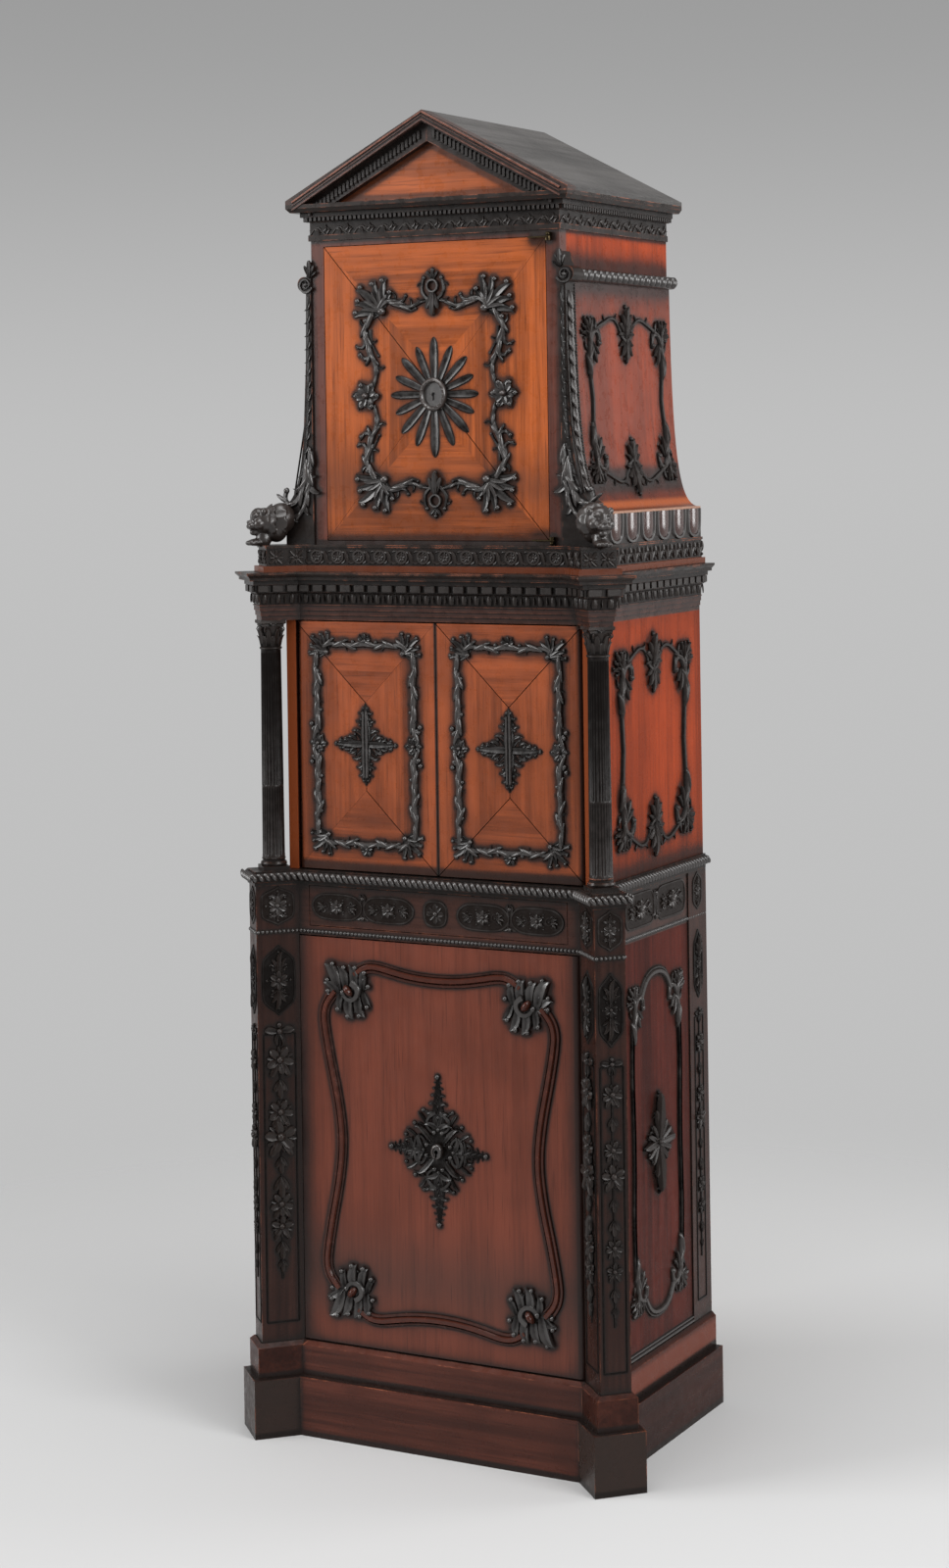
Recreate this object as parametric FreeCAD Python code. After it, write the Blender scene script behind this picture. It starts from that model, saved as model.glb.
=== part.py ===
import FreeCAD, Part
import math
import os
from FreeCAD import Vector

# Medal cabinet in three tiers: a base with one door, a middle tier with a pair of doors between
# free-standing columns, and a top tier with one door under a pediment.
# Millimetres. X runs across the front, -Y is the front, Z is up. The origin is on the floor,
# under the middle of the whole cabinet.

# Base tier
BASE_WIDTH = 528.0              # across the side panels of the base
BACK_ROOM = 12.0                # least room between the back and what the case holds
PLINTH_LOWER_HEIGHT = 89.0
PLINTH_UPPER_HEIGHT = 52.0
PLINTH_LOWER_OUT = 20.0         # how far the lower plinth stands out from the base
PLINTH_UPPER_OUT = 9.0
PLINTH_BOARD = 28.0             # thickness of the plinth boards
PLINTH_CAP_BEVEL = 6.0
FLOOR_BOARD = 18.0
SIDE_BOARD = 18.0
BACK_BOARD = 12.0
REAR_POST_WIDTH = 66.0
REAR_POST_PROUD = 2.0
BASE_DOOR_HEIGHT = 617.0
BASE_SHELVES = 2
SHELF_BOARD = 14.0

# Corner posts, which stand on the diagonal of the front corners and carry the columns
COLUMN_OUT = 15.5               # column axis beyond the base side
COLUMN_FORWARD = 6.5            # column axis in front of the base front
POST_FACE = 34.0                # post face in front of the column axis, along the diagonal
POST_HALF = 23.5                # half the width of the post face
UPPER_BLOCK_FACE = 42.0
UPPER_BLOCK_HALF = 31.0
LOWER_BLOCK_FACE = 50.5
LOWER_BLOCK_HALF = 39.5

# Frieze with its drawer, and the waist board above
RAIL_HEIGHT = 14.0
RAIL_DEPTH = 20.0
DRAWER_FRONT_HEIGHT = 60.4
END_STILE = 18.8                # frieze stile at each end of the drawer
DRAWER_FRONT_BOARD = 18.0
DRAWER_LAP = 15.0               # drawer front beyond each side of its box
DRAWER_BOX_HEIGHT = 50.0
DRAWER_BOX_DEPTH = 336.0
DRAWER_WALL = 8.0
DRAWER_BOTTOM = 6.0
RUNNER_WIDTH = 20.0
RUNNER_HEIGHT = 3.0
WAIST_HEIGHT = 22.0
WAIST_OUT = 9.0

# Middle tier
MID_INSET = 2.0                 # middle side behind the base side
MID_SETBACK = 11.0              # middle front plane behind the base front plane
MID_HEIGHT = 382.0
MID_SIDE_BOARD = 16.0
DIVIDER_BOARD = 12.0
MID_TRAYS = 5                   # trays in each of the two stacks

# Columns
COLUMN_PLINTH = 41.0            # side of the square plinth
COLUMN_PLINTH_HEIGHT = 6.0
COLUMN_BASE_HEIGHT = 19.0
SHAFT_RADIUS_FOOT = 17.5
SHAFT_RADIUS_NECK = 15.8
CAPITAL_HEIGHT = 45.0
CAPITAL_BELL_RADIUS = 20.5
ABACUS_SIDE = 44.0
ABACUS_HEIGHT = 12.0

# Entablature over the columns
ENTABLATURE_FACE = 18.0         # diagonal break over the column, in front of its axis
ENTABLATURE_HALF = 18.0
ARCHITRAVE_FASCIA = 7.5         # height of each of the three flat bands
FASCIA_STEP = 1.5
ARCHITRAVE_FILLET = 1.5
LEAF_HEIGHT = 19.0
BED_HEIGHT = 12.0
DENTIL_HEIGHT = 7.0
CORNICE_HEIGHT = 12.0
LEAF_OUT = 9.0
BED_OUT = 11.0
DENTIL_OUT = 15.0
CORNICE_OUT = 27.0
CORNICE_UNDERCUT = 5.0

# Attic base, the floor of the top tier
ATTIC_OUT = 5.0                 # attic side beyond the middle side
ATTIC_FACE = 11.0
ATTIC_HALF = 27.0
ATTIC_STEP_HEIGHT = 9.0
ATTIC_STEP_OUT = 6.0
ATTIC_BAND_HEIGHT = 28.0
ATTIC_FILLET_HEIGHT = 4.0
ATTIC_FILLET_OUT = 2.0

# Top tier
TOP_INSET = 49.0                # top side behind the middle side
TOP_SETBACK = 20.0              # top front plane behind the base front plane
TOP_STILE = 22.0                # jamb at each side of the top door
TOP_DOOR_HEIGHT = 447.0
TOP_SILL_HEIGHT = 6.0
TOP_RAIL_HEIGHT = 9.0
TOP_RAIL_DEPTH = 40.0
TOP_TRAYS = 6
NULL_BAND_HEIGHT = 48.0
NULL_BAND_OUT = 53.0
FLARE_FOOT_OUT = 47.0           # the side panel flares out by this much at its foot
FLARE_NECK_OUT = 4.0
FLARE_HEIGHT = 341.0
SIDE_BEAD_HEIGHT = 19.0
SIDE_BEAD_OUT = 17.0
CONSOLE_DEPTH = 36.0
CONSOLE_PROUD = 3.0             # console in front of the top front plane
CONSOLE_NECK_OUT = 8.0
CONSOLE_FOOT_OUT = 50.0
CONSOLE_TOE_HEIGHT = 62.0
SCROLL_RADIUS = 11.0
CONSOLE_FINIAL_HEIGHT = 34.0
HEAD_RADIUS = 24.0
MUZZLE_RADIUS = 13.0
MUZZLE_REACH = 28.0             # end of the muzzle in front of the head's centre
PAW_RADIUS = 12.0
HEAD_FORWARD = 7.0              # head centre in front of the column axis, along the diagonal
HEAD_LIFT = 13.0                # underside of the head above the attic base

# Pediment
TOP_FILLET_HEIGHT = 9.0
TOP_FRIEZE_HEIGHT = 20.0
TOP_BED_HEIGHT = 7.0
TOP_DENTIL_HEIGHT = 7.0
TOP_CORNICE_HEIGHT = 12.0
TOP_FILLET_OUT = 3.0
TOP_FRIEZE_OUT = 1.0
TOP_BED_OUT = 6.0
TOP_DENTIL_OUT = 12.0
TOP_CORNICE_OUT = 28.0
EAVES_HEIGHT = 6.0              # upright edge of the roof above the cornice
PEDIMENT_RISE = 125.0
RAKE_FASCIA = 15.5              # thickness of the raking cornice's front band, square to the slope
RAKE_DENTIL = 25.0
RAKE_DENTIL_OUT = 13.0
ROOF_BOARD = 14.0
GABLE_BOARD = 12.0

# Doors, hinges and locks
DOOR_BOARD = 22.0               # whole thickness of a door
DOOR_FACE = 8.0                 # thickness of its mitred face
DOOR_GAP = 1.0                  # at the jambs and between a pair of doors
DOOR_LIFT = 2.0                 # above and below a door
MITRE_OPEN = 1.2                # shrinkage opened most of the mitres by this much
MITRE_TIGHT = 0.3               # and left the others closed
KEYHOLE_RADIUS = 3.0
PIN_RADIUS = 3.0
PIN_DEPTH = 10.0                # length of a pin inside the door or the frame
PIN_SEAT = 0.05                 # a pin's radial clearance in its fixed seat
PIN_CLEAR = 0.3                 # a pin's clearance in a moving piece
EYE_RADIUS = 4.5
EYE_HEIGHT = 6.0
TOP_PIN_RADIUS = 2.2
TOP_AXIS_OUT = 7.0              # top door's hinge axis beyond the door's edge
TOP_AXIS_FORWARD = 5.5          # and in front of its face
LEAF_BOARD = 2.0
LEAF_LENGTH = 24.0
BALL_RADIUS = 3.6
LOCK_WIDTH = 70.0
LOCK_HEIGHT = 90.0
LOCK_DEPTH = 14.0
STAPLE_WIDTH = 30.0
STAPLE_HEIGHT = 15.0
STAPLE_DROP = 25.0
BOLT_WIDTH = 14.0
BOLT_BOARD = 5.0
BOLT_INSET = 4.0                # between the door and the bolt
BOLT_TAIL = 10.0                # bolt's lower end below the keyhole
BOLT_CLEAR = 0.4
BOLT_THROW = 10.0
BOLT_SHY = 1.0                  # drawn bolt below the door's top

# Trays
TRAY_BOARD = 6.0
TRAY_RIM = 34.0
TRAY_WALL = 6.0
TRAY_TONGUE = 4.6
TRAY_CLEAR = 0.4
TRAY_DEPTH = 300.0
TRAY_FOOT = 12.0                # lowest groove above the floor of its tier
TRAY_SETBACK = 12.0             # trays and shelves behind the locks

# Derived places
Q = math.sqrt(0.5)
BASE_HALF = BASE_WIDTH / 2
MID_HALF = BASE_HALF - MID_INSET
ATTIC_SIDE = MID_HALF + ATTIC_OUT
TOP_HALF = MID_HALF - TOP_INSET
TOP_JAMB = TOP_HALF - TOP_STILE
TOP_DOOR_EDGE = TOP_JAMB - DOOR_GAP
GROOVE_DEPTH = TRAY_TONGUE + TRAY_CLEAR
LOCK_ROOM = DOOR_BOARD + LOCK_DEPTH + TRAY_SETBACK
DRAWER_REACH = DRAWER_FRONT_BOARD + DRAWER_BOX_DEPTH
TRAY_REACH = TOP_SETBACK + LOCK_ROOM + TRAY_DEPTH
BASE_DEPTH = max(DRAWER_REACH, TRAY_REACH) + BACK_ROOM + BACK_BOARD  # base front plane to the back
CORNER_REACH = Q * (LOWER_BLOCK_FACE + LOWER_BLOCK_HALF)
BACK = (BASE_DEPTH + COLUMN_FORWARD + CORNER_REACH) / 2
FRONT = BACK - BASE_DEPTH
MID_FRONT = FRONT + MID_SETBACK
TOP_FRONT = FRONT + TOP_SETBACK
COLUMN_X = BASE_HALF + COLUMN_OUT
COLUMN_Y = FRONT - COLUMN_FORWARD
BACK_FACE = BACK - BACK_BOARD   # inside of the back boards

Z_PLINTH_STEP = PLINTH_LOWER_HEIGHT
Z_PLINTH = Z_PLINTH_STEP + PLINTH_UPPER_HEIGHT
Z_BASE_DOOR = Z_PLINTH + DOOR_LIFT
Z_RAIL = Z_BASE_DOOR + BASE_DOOR_HEIGHT + DOOR_LIFT
Z_RAIL_TOP = Z_RAIL + RAIL_HEIGHT
Z_WAIST = Z_RAIL_TOP + DRAWER_FRONT_HEIGHT + 2 * DOOR_GAP
Z_MID = Z_WAIST + WAIST_HEIGHT
Z_ARCHITRAVE = Z_MID + MID_HEIGHT
Z_LEAF = Z_ARCHITRAVE + 3 * ARCHITRAVE_FASCIA + ARCHITRAVE_FILLET
Z_BED = Z_LEAF + LEAF_HEIGHT
Z_DENTIL = Z_BED + BED_HEIGHT
Z_CORNICE = Z_DENTIL + DENTIL_HEIGHT
Z_ATTIC = Z_CORNICE + CORNICE_HEIGHT
Z_TOP = Z_ATTIC + ATTIC_STEP_HEIGHT + ATTIC_BAND_HEIGHT + ATTIC_FILLET_HEIGHT
Z_TOP_DOOR = Z_TOP + TOP_SILL_HEIGHT + DOOR_GAP
Z_TOP_RAIL = Z_TOP_DOOR + TOP_DOOR_HEIGHT + DOOR_GAP
Z_TOP_FILLET = Z_TOP_RAIL + TOP_RAIL_HEIGHT
Z_TOP_FRIEZE = Z_TOP_FILLET + TOP_FILLET_HEIGHT
Z_TOP_BED = Z_TOP_FRIEZE + TOP_FRIEZE_HEIGHT
Z_TOP_DENTIL = Z_TOP_BED + TOP_BED_HEIGHT
Z_TOP_CORNICE = Z_TOP_DENTIL + TOP_DENTIL_HEIGHT
Z_ROOF = Z_TOP_CORNICE + TOP_CORNICE_HEIGHT
Z_EAVES = Z_ROOF + EAVES_HEIGHT
Z_APEX = Z_EAVES + PEDIMENT_RISE

MID_DOOR_HEIGHT = MID_HEIGHT - 2 * DOOR_LIFT
Z_MID_DOOR = Z_MID + DOOR_LIFT
MID_JAMB = MID_HALF - MID_SIDE_BOARD
TOP_AXIS_X = TOP_DOOR_EDGE + TOP_AXIS_OUT
TOP_AXIS_Y = TOP_FRONT - TOP_AXIS_FORWARD
MID_DOOR_MIDDLE = MID_JAMB / 2


def block(x0, x1, y0, y1, z0, z1):
    """A box between two corners."""
    return Part.makeBox(x1 - x0, y1 - y0, z1 - z0, Vector(x0, y0, z0))


def prism(points, z0, z1):
    """A plan outline raised from z0 to z1."""
    ring = [Vector(x, y, z0) for x, y in points]
    face = Part.Face(Part.makePolygon(ring + ring[:1]))
    return face.extrude(Vector(0, 0, z1 - z0))


def slab(points, y0, y1):
    """A front outline of (x, z) points run from y0 back to y1."""
    ring = [Vector(x, y0, z) for x, z in points]
    face = Part.Face(Part.makePolygon(ring + ring[:1]))
    return face.extrude(Vector(0, y1 - y0, 0))


def rod(x, y, z0, z1, radius):
    """An upright cylinder."""
    return Part.makeCylinder(radius, z1 - z0, Vector(x, y, z0))


def mirrored(shape):
    """The same piece on the other side of the cabinet."""
    return shape.mirror(Vector(0, 0, 0), Vector(1, 0, 0))


def both(shapes):
    """The pieces given for the right side, with their fellows on the left."""
    return shapes + [mirrored(shape) for shape in shapes]


def fused(shapes):
    """One solid out of several that touch."""
    whole = shapes[0].multiFuse(shapes[1:])
    return whole.removeSplitter()


def on_diagonal(out, across):
    """A plan point at the right-hand column: along its diagonal, and across it."""
    return COLUMN_X + Q * (out + across), COLUMN_Y + Q * (across - out)


def inner_return(front, half):
    """Where the inner return of a diagonal block meets a front plane."""
    along = COLUMN_Y - Q * half - front
    return COLUMN_X + along - Q * half, front


def outer_return(side, half):
    """Where the outer return of a diagonal block meets a side plane."""
    along = side - COLUMN_X - Q * half
    return side, COLUMN_Y - along + Q * half


def broken_plan(side, front, face, half):
    """Plan of a tier whose front corners break out on the diagonal."""
    right = [
        inner_return(front, half),
        on_diagonal(face, -half),
        on_diagonal(face, half),
        outer_return(side, half),
        (side, BACK),
    ]
    left = [(-x, y) for x, y in reversed(right)]
    return right + left


def base_plan(out):
    return broken_plan(BASE_HALF + out, FRONT - out, POST_FACE + out, POST_HALF + out)


def entablature_plan(out):
    return broken_plan(MID_HALF + out, MID_FRONT - out, ENTABLATURE_FACE + out, ENTABLATURE_HALF + out)


def attic_plan(out):
    return broken_plan(ATTIC_SIDE + out, MID_FRONT - out, ATTIC_FACE + out, ATTIC_HALF + out)


def top_plan(out):
    side = TOP_HALF + out
    front = TOP_FRONT - out
    return [(-side, front), (side, front), (side, BACK), (-side, BACK)]


def moulded(plan, profile):
    """A board whose edge follows a profile of (height, projection) points, from the bottom up."""
    layers = []
    for (z0, out0), (z1, out1) in zip(profile, profile[1:]):
        if z1 == z0:
            continue
        if out0 == out1:
            layers.append(prism(plan(out0), z0, z1))
            continue
        wires = []
        for z, out in ((z0, out0), (z1, out1)):
            ring = [Vector(x, y, z) for x, y in plan(out)]
            wires.append(Part.makePolygon(ring + ring[:1]))
        layers.append(Part.makeLoft(wires, True, True))
    if len(layers) == 1:
        return layers[0]
    return fused(layers)


def ovolo(z0, z1, out0, out1, steps):
    """Profile points of a quarter round that swells from out0 to out1."""
    points = []
    for i in range(steps + 1):
        turn = math.pi / 2 * i / steps
        points.append((z0 + (z1 - z0) * math.sin(turn), out0 + (out1 - out0) * (1 - math.cos(turn))))
    return points


def turned(x, y, profile):
    """A solid of revolution about an upright axis, from (radius, height) points."""
    ring = [Vector(x + r, y, z) for r, z in profile]
    face = Part.Face(Part.makePolygon(ring + ring[:1]))
    return face.revolve(Vector(x, y, 0), Vector(0, 0, 1), 360)


def square_on_diagonal(side, z0, z1):
    """A square block about the right-hand column's axis, facing the diagonal."""
    half = side / 2
    corners = [(-half, -half), (half, -half), (half, half), (-half, half)]
    return prism([on_diagonal(out, across) for out, across in corners], z0, z1)


def plinth_ring(out, face, half, z0, z1):
    """Front board, right-hand corner block and right-hand side board of one plinth step."""
    side = BASE_HALF + out
    front = FRONT - out
    inner_x, inner_y = inner_return(front, half)
    outer_x, outer_y = outer_return(side, half)
    inside = (inner_x - PLINTH_BOARD, inner_y + PLINTH_BOARD)
    behind = (outer_x - PLINTH_BOARD, outer_y + PLINTH_BOARD)
    front_right = [(inner_x, inner_y), inside]
    front_left = [(-x, y) for x, y in reversed(front_right)]
    board = prism(front_left + front_right, z0, z1)
    corner = [(inner_x, inner_y), on_diagonal(face, -half), on_diagonal(face, half), (outer_x, outer_y)]
    corner_block = prism(corner + [behind, inside], z0, z1)
    side_board = prism([(outer_x, outer_y), (side, BACK), (side - PLINTH_BOARD, BACK), behind], z0, z1)
    return board, corner_block, side_board


def plinth():
    """The two steps of the plinth, as mitred boards and corner blocks."""
    lower = plinth_ring(PLINTH_LOWER_OUT, LOWER_BLOCK_FACE, LOWER_BLOCK_HALF, 0, Z_PLINTH_STEP)
    upper = plinth_ring(PLINTH_UPPER_OUT, UPPER_BLOCK_FACE, UPPER_BLOCK_HALF, Z_PLINTH_STEP, Z_PLINTH)
    cap = PLINTH_CAP_BEVEL

    def capped_plan(out):
        return broken_plan(BASE_HALF + out, FRONT - out, UPPER_BLOCK_FACE - PLINTH_UPPER_OUT + out,
                           UPPER_BLOCK_HALF - PLINTH_UPPER_OUT + out)

    envelope = moulded(capped_plan, [(Z_PLINTH_STEP, PLINTH_UPPER_OUT), (Z_PLINTH - cap, PLINTH_UPPER_OUT),
                                     (Z_PLINTH, PLINTH_UPPER_OUT - cap)])
    board, corner_block, side_board = [piece.common(envelope) for piece in upper]
    axis_x, axis_y = base_door_axis()
    seat = rod(axis_x, axis_y, Z_PLINTH - PIN_DEPTH, Z_PLINTH, PIN_RADIUS + PIN_SEAT)
    inside = BASE_HALF + PLINTH_UPPER_OUT - PLINTH_BOARD
    low_inside = BASE_HALF + PLINTH_LOWER_OUT - PLINTH_BOARD
    back_inside = BACK - PLINTH_BOARD
    low_back = block(-low_inside, low_inside, back_inside, BACK, 0, Z_PLINTH_STEP)
    back = block(-inside, inside, back_inside, BACK, Z_PLINTH_STEP, Z_PLINTH)
    front_inside = FRONT - PLINTH_UPPER_OUT + PLINTH_BOARD
    floor = block(-inside, inside, front_inside, back_inside, Z_PLINTH - FLOOR_BOARD, Z_PLINTH)
    floor = floor.cut(Part.makeCompound(both([corner_block])))
    return {
        "plinth_front": [lower[0], board.cut(seat)],
        "plinth_corner_blocks": both([lower[1]]) + [corner_block.cut(seat), mirrored(corner_block)],
        "plinth_sides": both([lower[2], side_board]),
        "plinth_back": [low_back, back],
        "base_floor": [floor],
    }


def base_jamb():
    """Half the width between the corner posts at the base front plane."""
    return inner_return(FRONT, POST_HALF)[0]


def drawer_edge():
    """Half the width of the drawer front, between the end stiles."""
    return base_jamb() - END_STILE - DOOR_GAP


def base_door_axis():
    """Plan point of the pins that the base door turns on, in the middle of its right-hand edge."""
    return base_jamb() - DOOR_GAP - DOOR_BOARD / 2, FRONT + DOOR_BOARD / 2


def mid_door_axis():
    """Plan point of the pins of the right-hand middle door."""
    return MID_JAMB - DOOR_GAP - DOOR_BOARD / 2, MID_FRONT + DOOR_BOARD / 2


def shelf_levels():
    """Undersides of the base shelves, which part the base evenly."""
    room = (Z_RAIL - Z_PLINTH - BASE_SHELVES * SHELF_BOARD) / (BASE_SHELVES + 1)
    return [Z_PLINTH + room * (i + 1) + SHELF_BOARD * i for i in range(BASE_SHELVES)]


def base_case():
    """Posts, sides, back and shelves of the base."""
    jamb = base_jamb()
    side_x, side_y = outer_return(BASE_HALF, POST_HALF)
    corners = [(jamb, FRONT), on_diagonal(POST_FACE, -POST_HALF), on_diagonal(POST_FACE, POST_HALF)]
    post = prism(corners + [(side_x, side_y), (jamb, side_y)], Z_PLINTH, Z_WAIST)
    inside = BASE_HALF - SIDE_BOARD
    rear = BACK - REAR_POST_WIDTH
    side = block(inside, BASE_HALF, side_y, rear, Z_PLINTH, Z_RAIL)
    rear_post = block(inside, BASE_HALF + REAR_POST_PROUD, rear, BACK, Z_PLINTH, Z_WAIST)
    back = block(-inside, inside, BACK_FACE, BACK, Z_PLINTH, Z_WAIST)
    shelves = []
    grooves = []
    for z in shelf_levels():
        reach = inside + GROOVE_DEPTH
        front = FRONT + LOCK_ROOM
        main = block(-reach, reach, max(front, side_y), rear, z, z + SHELF_BOARD)
        shelves.append(main)
        grooves.append(main)
    side = side.cut(Part.makeCompound(grooves))
    return {
        "corner_post_right": [post],
        "corner_post_left": [mirrored(post)],
        "base_sides": both([side]),
        "rear_posts": both([rear_post]),
        "base_back": [back],
        "base_shelves": shelves,
    }


def frieze():
    """Rail, end stiles and side boards around the drawer, and the dust board under it."""
    jamb = base_jamb()
    stile = jamb - END_STILE
    back_of_rail = FRONT + RAIL_DEPTH
    axis_x, axis_y = base_door_axis()
    rail = block(-jamb, jamb, FRONT, back_of_rail, Z_RAIL, Z_RAIL_TOP)
    rail = rail.cut(rod(axis_x, axis_y, Z_RAIL, Z_RAIL + PIN_DEPTH, PIN_RADIUS + PIN_SEAT))
    end = block(stile, jamb, FRONT, back_of_rail, Z_RAIL_TOP, Z_WAIST)
    inside = BASE_HALF - SIDE_BOARD
    side_y = outer_return(BASE_HALF, POST_HALF)[1]
    side = block(inside, BASE_HALF, side_y, BACK - REAR_POST_WIDTH, Z_RAIL, Z_WAIST)
    dust = block(-jamb, jamb, back_of_rail, BACK_FACE, Z_RAIL, Z_RAIL_TOP)
    dust = dust.cut(bolt_mortise(0, FRONT + DOOR_BOARD, Z_RAIL))
    run_x = drawer_edge() - DRAWER_LAP
    run_z = Z_RAIL_TOP + RUNNER_HEIGHT
    runner = block(run_x - RUNNER_WIDTH, run_x, back_of_rail, BACK_FACE, Z_RAIL_TOP, run_z)
    return {
        "frieze_rail": [rail] + both([end]),
        "frieze_sides": both([side]),
        "dust_board": [dust],
        "drawer_runners": both([runner]),
    }


def drawer():
    """Drawer front and its open box, which rides on the runners."""
    half = drawer_edge()
    z0 = Z_RAIL_TOP + DOOR_GAP
    front = block(-half, half, FRONT, FRONT + DRAWER_FRONT_BOARD, z0, z0 + DRAWER_FRONT_HEIGHT)
    box_half = half - DRAWER_LAP
    y0 = FRONT + DRAWER_FRONT_BOARD
    y1 = y0 + DRAWER_BOX_DEPTH
    floor = Z_RAIL_TOP + RUNNER_HEIGHT + PIN_CLEAR
    outside = block(-box_half, box_half, y0, y1, floor, floor + DRAWER_BOX_HEIGHT)
    room = block(-box_half + DRAWER_WALL, box_half - DRAWER_WALL, y0 + DRAWER_WALL, y1 - DRAWER_WALL,
                 floor + DRAWER_BOTTOM, floor + DRAWER_BOX_HEIGHT)
    return {"drawer_front": [front], "drawer_box": [outside.cut(room)]}


def waist():
    """The waist board with its rounded edge, which is the floor of the middle tier."""
    rise = WAIST_HEIGHT / 4
    low = Z_WAIST + rise
    high = Z_MID - rise / 2
    middle = (low + high) / 2
    profile = [(Z_WAIST, WAIST_OUT / 4), (low, WAIST_OUT / 4), (low, WAIST_OUT / 2), (middle, WAIST_OUT),
               (high, WAIST_OUT / 2), (high, WAIST_OUT / 4), (Z_MID, WAIST_OUT / 4)]
    board = moulded(base_plan, profile)
    axis_x, axis_y = mid_door_axis()
    for x in (-axis_x, axis_x):
        board = board.cut(rod(x, axis_y, Z_MID - PIN_DEPTH, Z_MID, PIN_RADIUS + PIN_SEAT))
    return {"waist_board": [board]}


def tray_levels(z0, height, count):
    """Grooves for a stack of trays, spread evenly over a tier."""
    pitch = (height - TRAY_FOOT) / count
    return [z0 + TRAY_FOOT + pitch * i for i in range(count)]


def tray(x0, x1, y0, z):
    """A shallow tray whose bottom runs in grooves on both sides."""
    y1 = y0 + TRAY_DEPTH
    left = x0 + TRAY_CLEAR
    right = x1 - TRAY_CLEAR
    bottom = block(x0 - TRAY_TONGUE, x1 + TRAY_TONGUE, y0, y1, z, z + TRAY_BOARD)
    rim = block(left, right, y0, y1, z, z + TRAY_RIM)
    room = block(left + TRAY_WALL, right - TRAY_WALL, y0 + TRAY_WALL, y1 - TRAY_WALL,
                 z + TRAY_BOARD, z + TRAY_RIM)
    return fused([bottom, rim]).cut(room)


def grooves(face, toward, y0, levels):
    """Slots in an upright board's face for the tray bottoms."""
    slots = []
    for z in levels:
        x0 = min(face, face + toward * GROOVE_DEPTH)
        x1 = max(face, face + toward * GROOVE_DEPTH)
        slots.append(block(x0, x1, y0, y0 + TRAY_DEPTH + TRAY_CLEAR,
                           z - TRAY_CLEAR, z + TRAY_BOARD + TRAY_CLEAR))
    return Part.makeCompound(slots)


def mid_case():
    """Sides, back, divider and trays of the middle tier."""
    levels = tray_levels(Z_MID, MID_HEIGHT, MID_TRAYS)
    tray_y = MID_FRONT + LOCK_ROOM
    half = DIVIDER_BOARD / 2
    side = block(MID_JAMB, MID_HALF, MID_FRONT, BACK, Z_MID, Z_ARCHITRAVE)
    side = side.cut(grooves(MID_JAMB, 1, tray_y, levels))
    back = block(-MID_JAMB, MID_JAMB, BACK_FACE, BACK, Z_MID, Z_ARCHITRAVE)
    divider = block(-half, half, tray_y, BACK_FACE, Z_MID, Z_ARCHITRAVE)
    divider = divider.cut(grooves(half, -1, tray_y, levels))
    divider = divider.cut(grooves(-half, 1, tray_y, levels))
    stack = [tray(half, MID_JAMB, tray_y, z) for z in levels]
    return {
        "mid_sides": both([side]),
        "mid_back": [back],
        "mid_divider": [divider],
        "mid_trays": both(stack),
    }


def columns():
    """The two free-standing columns: moulded base, tapered shaft and bell-shaped capital."""
    x = COLUMN_X
    y = COLUMN_Y
    z0 = Z_MID
    z1 = z0 + COLUMN_PLINTH_HEIGHT
    z2 = z0 + COLUMN_BASE_HEIGHT
    step = (z2 - z1) / 4
    wide = COLUMN_PLINTH / 2
    foot = SHAFT_RADIUS_FOOT
    torus = [(0, z1), (wide - 1, z1), (wide, z1 + step), (wide - 1, z1 + 2 * step)]
    upper_ring = [(foot, z1 + 2 * step), (foot, z1 + 3 * step), (foot + 1, z1 + 3.5 * step), (foot, z2)]
    rings = turned(x, y, torus + upper_ring + [(0, z2)])
    base = fused([square_on_diagonal(COLUMN_PLINTH, z0, z1), rings])
    z3 = Z_ARCHITRAVE - CAPITAL_HEIGHT
    neck = SHAFT_RADIUS_NECK
    third = z2 + (z3 - z2) / 3
    shaft = turned(x, y, [(0, z2), (foot, z2), (foot, third), (neck, z3), (0, z3)])
    z4 = Z_ARCHITRAVE - ABACUS_HEIGHT
    bell = CAPITAL_BELL_RADIUS
    astragal = [(0, z3), (neck + 1, z3), (neck + 1, z3 + 3), (neck, z3 + 4)]
    flare = turned(x, y, astragal + [(neck + 1, (z3 + z4) / 2), (bell, z4), (0, z4)])
    capital = fused([flare, square_on_diagonal(ABACUS_SIDE, z4, Z_ARCHITRAVE)])
    return {
        "column_bases": both([base]),
        "column_shafts": both([shaft]),
        "column_capitals": both([capital]),
    }


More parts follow.
